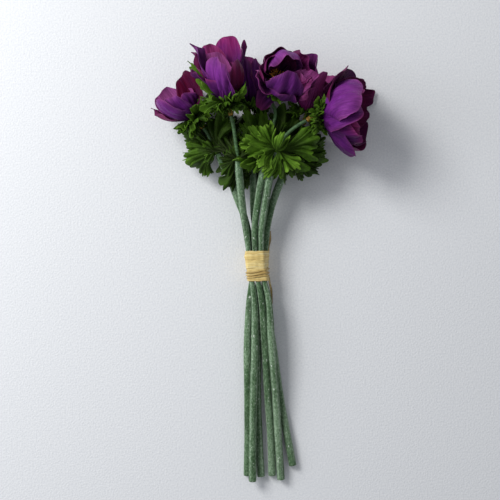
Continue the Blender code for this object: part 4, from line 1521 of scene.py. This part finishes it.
HEADS = {
    "far_left": Head(
        base=(-48.0, 115.0, 24.0), axis=(-0.62, 0.74, 0.2), press=(12.0, 19.0),
        outer=[
            Petal(-32, 33, 13.5, 75, -26, cup=0.84, roll=12, lean=0.3, ruffle=0.9, fold=1.6, tip=0.05,
                  shade=0.12),
            Petal(-64, 35, 14, 68, -22, cup=0.8, roll=12, lean=1.5, ruffle=0.9, fold=1.6, warm=0.06,
                  tip=0.1, shade=-0.05),
            Petal(-112, 35, 13, 68, -8, cup=0.89, curl=60, roll=12, lean=-0.3, ruffle=2, point=0.12,
                  warm=0.5, tip=0.45, shade=0.25),
            Petal(204, 33, 16, 70, -10, warm=0.3, shade=0.3),
            Petal(150, 36, 16, 66, 4, warm=0.68, tip=0.3, shade=0.42, pale=0),
            Petal(90, 35, 12.6, 43, -1, turn=1, cup=0.61, roll=-55, lean=0.8, ruffle=0.8, round=0.34,
                  warm=0.8, tip=0.35, shade=0.3, pale=0),
        ],
        inner=[
            Petal(14, 23, 12, 70, -20, shade=0.14, rise=1.5),
            Petal(110, 23, 12, 62, -6, ruffle=0.8, warm=0.2, pale=0.9, rise=1.5),
            Petal(208, 36, 16, 58, -14, cup=0.93, ruffle=0.7, shade=-0.3, pale=1.1, rise=1.5),
            Petal(-44, 25, 12, 66, -20, shade=0.2, rise=1.5),
            Petal(-104, 27, 14, 58, -6, pale=0.8, rise=1.5),
        ],
        ruff=ruff(9, 10, 22, 84, 13, 0.34) + ruff(7, 30, 16, 122, 14, 0.05),
    ),
    "left": Head(
        base=(-22.0, 123.5, 43.5), axis=(-0.24, 0.9, 0.36), press=(20.0, 20.0),
        outer=[
            Petal(-33, 41, 14.5, 50, -40, broad=0.8, cup=0.95, roll=16, lean=0.9, ruffle=0.8, fold=2.0,
                  round=0.2, warm=0.04, tip=0.05, shade=-0.04),
            Petal(4, 32, 7, 64, -22, cup=0.77, roll=36, ruffle=1.2, fold=1.2, warm=0.06, tip=0.1),
            Petal(66, 35, 15, 58, -16, broad=0.7, cup=0.95, roll=10, ruffle=0.7, round=0.36, warm=0.95,
                  tip=0.15, shade=0.34),
            Petal(101, 48, 9.6, 50, 0, cup=0.79, curl=20, roll=26, lean=2.7, ruffle=2, point=0.14,
                  warm=0.2, shade=0.5),
            Petal(148, 52, 14, 48, 2, broad=0.75, cup=0.82, roll=9, lean=0.3, ruffle=0.8, fold=2.0,
                  round=0.2, warm=0.0, tip=0.5, shade=-0.15, pale=0.12),
            Petal(205, 45, 12, 25, 6, broad=0.7, cup=1, roll=4, lean=-2.1, ruffle=1, warm=0.35, tip=0.35,
                  pale=0.3),
            Petal(243, 47, 8.6, 27, -3, cup=0.86, curl=40, roll=10, lean=2.8, ruffle=2.2, point=0.12,
                  warm=0.45, tip=0.4, shade=0.2),
            Petal(255, 52, 10.4, 27, -12, cup=0.82, curl=40, roll=3, lean=2.3, ruffle=2.4, point=0.14,
                  warm=0.05, tip=0.1, shade=0.15),
            Petal(288, 37, 6, 28, 41, cup=0.85, roll=15, ruffle=1.6, shade=0.3),
        ],
        inner=[
            Petal(-6, 25, 12, 54, -16, fold=1.6, warm=0.05, shade=0.2, rise=1.8),
            Petal(66, 26, 12, 54, -8, warm=0.3, shade=0.3, pale=0.6, rise=1.8),
            Petal(128, 29, 12, 50, -6, warm=0.25, shade=0.25, pale=0.4, rise=1.8),
            Petal(192, 37, 17, 32, -6, broad=0.7, cup=1, roll=-6, lean=1.6, ruffle=0.7, fold=1.2,
                  round=0.36, warm=0.25, tip=0.2, shade=-0.3, pale=1.0, rise=1.8),
            Petal(250, 31, 12, 48, -10, warm=0.2, shade=0.2, pale=0.5, rise=1.8),
            Petal(-66, 26, 12, 52, -12, shade=0.2, rise=1.8),
        ],
        ruff=ruff(9, 0, 21, 76, 23, 0.42) + ruff(7, 20, 16, 122, 24, 0.05) + [
            CutLeaf(272, 26, 42, spread=34, lobes=3, cut=0.4, side=0.72, bend=6, pleat=1.2, bright=0.4),
            CutLeaf(296, 30, 29, spread=40, lobes=3, cut=0.4, side=0.72, bend=14, pleat=1.2, bright=0.55),
        ],
    ),
    "inner_left": Head(
        base=(-5.9, 122.1, 20.0), axis=(0.12, 0.95, 0.1), press=(18.0, 15.0),
        outer=[
            Petal(-24, 46, 12, 52, -6, warm=0.1, shade=0.32, ruffle=2.2, fold=3.4, pleat=0.9),
            Petal(30, 47, 11, 50, -8, warm=0.02, shade=-0.1, ruffle=2.4, curl=30, fold=3.4, pleat=0.9),
            Petal(88, 43, 12, 56, 8, warm=0.3, shade=0.5, ruffle=2.2),
            Petal(150, 46, 13, 50, -4, warm=0.3, shade=0.5, curl=20),
            Petal(205, 48, 14, 50, -6, warm=0.2, shade=0.5),
            Petal(280, 44, 12, 56, 4, warm=0.1, shade=0.45, ruffle=2.4),
        ],
        inner=[
            Petal(i * 72 + 10, 35, 10, 36, -10, warm=0.2, shade=0.45, rise=2.2) for i in range(5)
        ],
        ruff=ruff(7, 0, 19, 84, 33, 0.25),
    ),
    "middle": Head(
        base=(15.0, 138.0, 38.0), axis=(0.4, 0.36, 0.84), press=(12.0, 22.0),
        outer=[
            Petal(44, 30, 15.3, 99, -23, turn=1.3, cup=0.9, roll=14, lean=0.4, ruffle=1.2, warm=0.12,
                  tip=0.1, shade=0.45),
            Petal(121, 30, 11.1, 86, -3, cup=0.87, curl=20, roll=-12, lean=-1.4, warm=0.3, tip=0.4,
                  shade=0.15, pale=0.7),
            Petal(137, 41, 14.8, 97, -39, cup=1.01, roll=-24, lean=10.3, fold=2.4, warm=0.12, tip=0.1,
                  shade=0.2, pale=0.35),
            Petal(232, 43, 17, 95, -82, turn=0.95, cup=0.9, roll=-10, lean=-1, fold=2.2, point=0.06,
                  tip=0.05),
            Petal(259, 30, 14.6, 92, -39, cup=1.01, roll=-7, lean=0.8, ruffle=1.8, warm=0.35, shade=0.45),
            Petal(334, 25, 11, 105, 8, cup=0.73, curl=30, roll=-6, lean=-1, ruffle=0.9, warm=0.2, tip=0.2,
                  shade=-0.5, pale=1.2),
            Petal(5, 25, 7.7, 111, 153, cup=0.34, roll=14, lean=0.6, ruffle=1.6, fold=1.8, tip=0.4,
                  shade=0.42),
        ],
        inner=[
            Petal(37, 42, 16, 96, -72, turn=1, broad=0.45, cup=0.75, roll=2, lean=0.7, ruffle=0.8,
                  fold=0.8, pleat=1.1, warm=0.08, tip=0, shade=0.4, rise=1.4),
            Petal(126, 34, 10, 83, -13, cup=0.84, roll=-24, lean=2.5, fold=2.6, warm=0.3, tip=0.1,
                  pale=0.8, rise=1.4),
            Petal(172, 34, 15, 88, -26, warm=0.3, shade=0.3, pale=0.2, rise=1.4),
            Petal(234, 30, 15, 86, -14, warm=0.4, shade=0.45, pale=0.1, rise=1.4),
            Petal(294, 23, 12, 88, 0, curl=30, warm=0.6, shade=0.25, pale=0.6, rise=1.4),
        ],
        ruff=ruff(9, 6, 16, 122, 43, 0.3) + ruff(6, 30, 15, 140, 44, 0.05),
    ),
    "right": Head(
        base=(47.6, 113.4, 37.0), axis=(0.97, 0.02, 0.1), press=(20.0, 26.0),
        outer=[
            Petal(-42, 44, 21.4, 99, -18, turn=0.85, broad=0.4, cup=0.81, roll=-3, lean=1.2, fold=1.4,
                  pleat=0.7, round=0.2, warm=0.04, tip=0.04, shade=-0.05, rise=2.6),
            Petal(50, 36, 17.3, 85, -17, turn=0.85, broad=0.4, roll=4, lean=2, fold=1.4, pleat=0.7,
                  round=0.16, warm=0.03, tip=0.95, shade=0.02, rise=2.6),
            Petal(93, 39, 18, 72, 22, broad=0.6, roll=18, lean=-2, ruffle=1.0, round=0.45, tip=0.1,
                  shade=0.42, rise=2.4),
            Petal(154, 50, 24.8, 69, -3, broad=0.45, cup=0.98, roll=11, lean=0.4, ruffle=2.2, warm=0.3,
                  tip=0.1, shade=0.55, pale=0.05),
            Petal(187, 59, 14.6, 82, -3, roll=14, lean=0.4, ruffle=2.4, warm=0.5, tip=0.1, shade=0.5,
                  pale=0.05),
            Petal(205, 68, 13, 82, -1, cup=0.85, roll=-2, lean=1.4, ruffle=1.8, warm=0.6, tip=0.1,
                  shade=0.42, pale=0.05),
            Petal(220, 59, 12.1, 82, 7, cup=0.92, roll=6, lean=0.9, ruffle=1.8, warm=0.65, shade=0.38,
                  pale=0.05),
            Petal(232, 46, 21.7, 68, 31, cup=0.98, roll=19, lean=3.1, ruffle=1.8, warm=0.2, tip=0.1,
                  shade=0.42, pale=0.05),
            Petal(280, 42, 14, 74, 40, cup=0.7, roll=14, lean=1.2, ruffle=0.9, round=0.45, point=0.03,
                  warm=0.75, tip=0.25, shade=0.45, rise=1.2),
        ],
        inner=[
            Petal(4, 39, 14.4, 80, -24, turn=0.9, roll=25, lean=-3.6, warm=0.06, shade=0.05, rise=1.5),
            Petal(64, 40, 16, 74, -20, warm=0.2, shade=0.3, rise=1.5),
            Petal(128, 46, 17, 74, -12, warm=0.4, shade=0.4, pale=0.1, rise=1.5),
            Petal(190, 48, 17, 74, -10, warm=0.5, shade=0.4, pale=0.1, rise=1.5),
            Petal(245, 46, 17, 74, -10, warm=0.4, shade=0.35, pale=0.1, rise=1.5),
            Petal(306, 42, 15, 74, -22, warm=0.2, shade=0.2, pale=0.6, rise=1.5),
        ],
        ruff=ruff(10, 0, 16, 90, 53, 0.3) + ruff(7, 10, 13, 100, 54, 0.05),
    ),
    "inner_right": Head(
        base=(39.5, 119.6, 20.5), axis=(0.3, 0.9, 0.22), press=(15.0, 12.0),
        outer=[
            # A shade below 0 paints these petals lighter and pinker on the outside, as painted light.
            Petal(i * 72 + 10, 40, 13, 60, -4, warm=0.6, tip=0.1, shade=-3.0, pale=0.6, ruffle=2.0)
            for i in range(5)
        ],
        inner=[
            Petal(i * 72 + 50, 27, 9, 46, -16, warm=0.6, shade=0.3, pale=0.6, rise=1.8) for i in range(5)
        ],
        ruff=ruff(7, 0, 17, 84, 63, 0.3),
    ),
}

STEMS = {
    "far_left": Stem(
        [(-7.2, -166.7, 3.2), (-6.7, -138.6, 4.2), (-6.7, -106.4, 6.2), (-7.1, -58.6, 9.0),
         (-5.5, -26.9, 10.5), (-2.9, 0.0, 11.9), (-4.2, 16.4, 12.3), (-6.4, 27.4, 12.6),
         (-10.0, 40.0, 13.2), (-14.5, 51.7, 14.8), (-20.7, 68.7, 17.0), (-27.6, 82.4, 20.0),
         (-30.2, 87.2, 21.2)],
        [(-31.1, 89.2, 21.6), (-34.8, 96.6, 21.6)],
        spray(100, 16, 34, 0.32, 1) + spray(182, 4, 29, 0.42, 2, 40.0) + spray(62, -6, 40, 0.05, 4, 30.0)
        + spray(120, -12, 36, 0.02, 5, 30.0) + hood(130, 0.35, 6),
    ),
    "left": Stem(
        [(-3.1, -170.1, 8.4), (-3.0, -137.4, 9.6), (-2.4, -105.6, 11.1), (-1.3, -58.1, 14.1),
         (-1.8, -26.6, 15.7), (-5.2, 0.0, 16.1), (-6.7, 16.4, 17.3), (-8.2, 27.3, 18.6),
         (-10.1, 39.7, 20.2), (-12.1, 56.6, 23.5), (-13.5, 72.4, 28.0), (-14.2, 80.6, 30.8)],
        [(-14.4, 83.0, 31.6), (-16.0, 94.5, 34.6)],
        spray(64, 8, 32, 0.22, 11, 38.0) + spray(-84, -30, 34, 0.04, 12, 26.0)
        + spray(222, -14, 20, 0.1, 13, 34.0) + spray(110, -12, 38, 0.05, 14, 24.0)
        + spray(10, -10, 24, 0.15, 15) + hood(30, 0.2, 16),
    ),
    "inner_left": Stem(
        [(3.7, -167.5, 3.2), (2.1, -138.7, 3.6), (0.9, -106.6, 5.0), (1.2, -58.7, 8.1),
         (1.0, -26.9, 10.3), (1.6, 0.0, 11.9), (1.2, 16.4, 11.8), (-0.4, 27.4, 11.6),
         (-2.0, 40.0, 11.8), (-2.3, 51.8, 12.5), (-2.4, 63.5, 13.5), (-2.4, 75.4, 14.8)],
        [(-2.4, 78.0, 15.1), (-3.6, 91.5, 16.6)],
        spray(236, -2, 24, 0.36, 21) + spray(150, 4, 26, 0.25, 22) + spray(66, 2, 40, 0.04, 23, 30.0)
        + spray(104, -8, 40, 0.02, 24, 26.0) + hood(200, 0.3, 25),
    ),
    "middle": Stem(
        [(12.4, -166.7, 3.2), (11.6, -138.6, 4.3), (9.2, -106.4, 6.5), (6.3, -58.3, 11.9),
         (3.8, -26.6, 15.5), (-0.7, 0.0, 16.1), (-1.4, 16.4, 16.9), (-1.6, 27.3, 17.7),
         (-0.4, 39.7, 19.0), (1.3, 51.3, 21.0), (4.2, 68.8, 25.0), (7.2, 83.2, 28.0),
         (8.0, 87.0, 29.0)],
        [(8.7, 89.8, 29.8), (11.6, 103.0, 30.0), (14.2, 120.0, 26.5)],
        spray(192, 20, 25, 0.58, 31, 42.0) + spray(252, 8, 24, 0.48, 32)
        + spray(124, 10, 32, 0.36, 33, 36.0) + spray(76, -6, 42, 0.0, 34, 26.0)
        + spray(44, -8, 38, 0.0, 35, 26.0) + hood(220, 0.45, 36),
    ),
    "right": Stem(
        [(19.5, -169.5, 4.5), (17.4, -138.0, 7.0), (15.4, -105.8, 9.8), (11.5, -57.9, 15.5),
         (9.4, -26.6, 15.7), (3.8, 0.0, 16.1), (3.7, 16.4, 17.9), (3.8, 27.3, 19.8),
         (5.5, 39.6, 21.5), (7.3, 51.2, 23.2), (10.1, 68.6, 27.0), (13.6, 82.9, 30.5),
         (15.0, 87.2, 31.6)],
        [(16.0, 89.8, 32.5), (20.0, 97.0, 34.0)],
        spray(6, 14, 38, 0.34, 41, 24.0) + spray(264, 26, 25, 0.66, 42, 42.0)
        + spray(152, 24, 30, 0.62, 43, 38.0) + spray(66, -4, 40, 0.0, 44, 30.0)
        + spray(322, 6, 28, 0.22, 45, 36.0) + hood(190, 0.5, 46)
        + [CutLeaf(236, 76, 21, spread=125, cut=0.25, bend=-115, bright=0.55)],
        neck=(0.88, 0.47, 0.1),
    ),
    "inner_right": Stem(
        [(28.9, -158.7, 3.2), (25.2, -138.8, 3.4), (19.2, -106.8, 4.0), (12.3, -58.6, 8.8),
         (7.1, -26.9, 10.3), (6.1, 0.0, 11.9), (7.4, 16.4, 12.5), (8.2, 27.4, 13.3),
         (10.2, 39.9, 14.5), (15.2, 57.0, 17.0), (21.7, 73.2, 19.5), (24.4, 80.0, 20.2)],
        [(25.5, 82.5, 20.6), (30.0, 95.0, 21.0)],
        spray(-14, -8, 30, 0.14, 51, 36.0) + spray(22, -4, 40, 0.24, 52, 22.0)
        + spray(100, -6, 34, 0.0, 53, 30.0) + spray(62, -4, 38, 0.0, 55, 24.0) + hood(300, 0.2, 56),
    ),
}


# ---------------------------------------------------------------- the studio


@dataclass(frozen=True)
class Studio:
    """Pale table, soft light from the upper left and a camera that looks straight down.

    Attributes:
        aim: the point of the table under the camera, in the tables' millimetres.
        height: the camera's height over the table.
        lens: focal length for a sensor 36 wide.
        lamp_aim: the point that the lamps look at, in the frame's metres.
        reach: half the side of the table top, in metres.
    """

    aim: tuple = (-5.1, 12.5)
    height: float = 700.0
    lens: float = 63.0
    lamp_aim: tuple = (0.0, 0.05, 0.0)
    reach: float = 3.0

    def camera(self) -> None:
        """The camera over the bunch, its top edge towards the flowers."""
        data = bpy.data.cameras.new("camera")
        data.lens = self.lens
        data.sensor_width = 36.0
        made = add_object("camera", data)
        made.location = tuple((np.array([*self.aim, self.height]) + SHIFT) * MM)
        bpy.context.scene.camera = made

    def lamp(self, name: str, place: tuple, size: float, watts: float, tint: str) -> None:
        """A square soft lamp that looks at the bunch.

        Args:
            name: its name.
            place: where it stands, in metres.
            size: side of its square, in metres.
            watts: its power.
            tint: its colour code.
        """
        data = bpy.data.lights.new(name, "AREA")
        data.size = size
        data.energy = watts
        data.color = dye(tint)[:3]
        made = add_object(name, data)
        back = unit(np.array(place) - self.lamp_aim)
        across = unit(np.cross([0.0, 1.0, 0.0], back))
        turned = Matrix(np.stack([across, np.cross(back, across), back], axis=1).tolist()).to_4x4()
        made.matrix_world = Matrix.Translation(place) @ turned

    def build(self) -> None:
        """Table, sky, lamps and camera."""
        mesh = bpy.data.meshes.new("table")
        corners = [(x * self.reach, y * self.reach, 0) for x, y in ((-1, -1), (1, -1), (1, 1), (-1, 1))]
        mesh.from_pydata(corners, [], [(0, 1, 2, 3)])
        r = Recipe("table_paper", 0.9)
        r.set(specular_ior_level=0.1)
        weave = r.noise(700.0, 3.0)
        r.colour(r.ramp(weave, (0.3, "#dcdfe4"), (0.7, "#e9ebee")))
        r.bump(weave, 0.0003)
        mesh.materials.append(r.material)
        add_object("table", mesh)
        world = bpy.data.worlds.new("sky")
        world.use_nodes = True
        sky = world.node_tree.nodes["Background"].inputs
        sky["Color"].default_value = dye("#f4f6fb")
        sky["Strength"].default_value = 0.36
        bpy.context.scene.world = world
        bpy.context.scene.view_settings.view_transform = "Standard"
        self.lamp("window", (-0.8, 0.68, 0.84), 0.5, 13.6, "#fffefb")
        self.lamp("side_window", (-0.75, 0.1, 0.45), 0.5, 2.2, "#fbfcff")
        self.camera()


def main() -> None:
    """Builds the studio, then the bunch from the stems up."""
    Studio().build()
    finishes = Finishes()
    walls = press_walls(HEADS)
    for number, (name, stem) in enumerate(STEMS.items()):
        stem.build(name, HEADS[name], finishes, 1000 + 97 * number)
        HEADS[name].build(name, walls[name], finishes, 2000 + 131 * number)
    Tie(list(STEMS.values())).build(finishes.raffia)


if __name__ == "__main__":
    logging.basicConfig(level=logging.INFO, format="%(message)s")
    main()
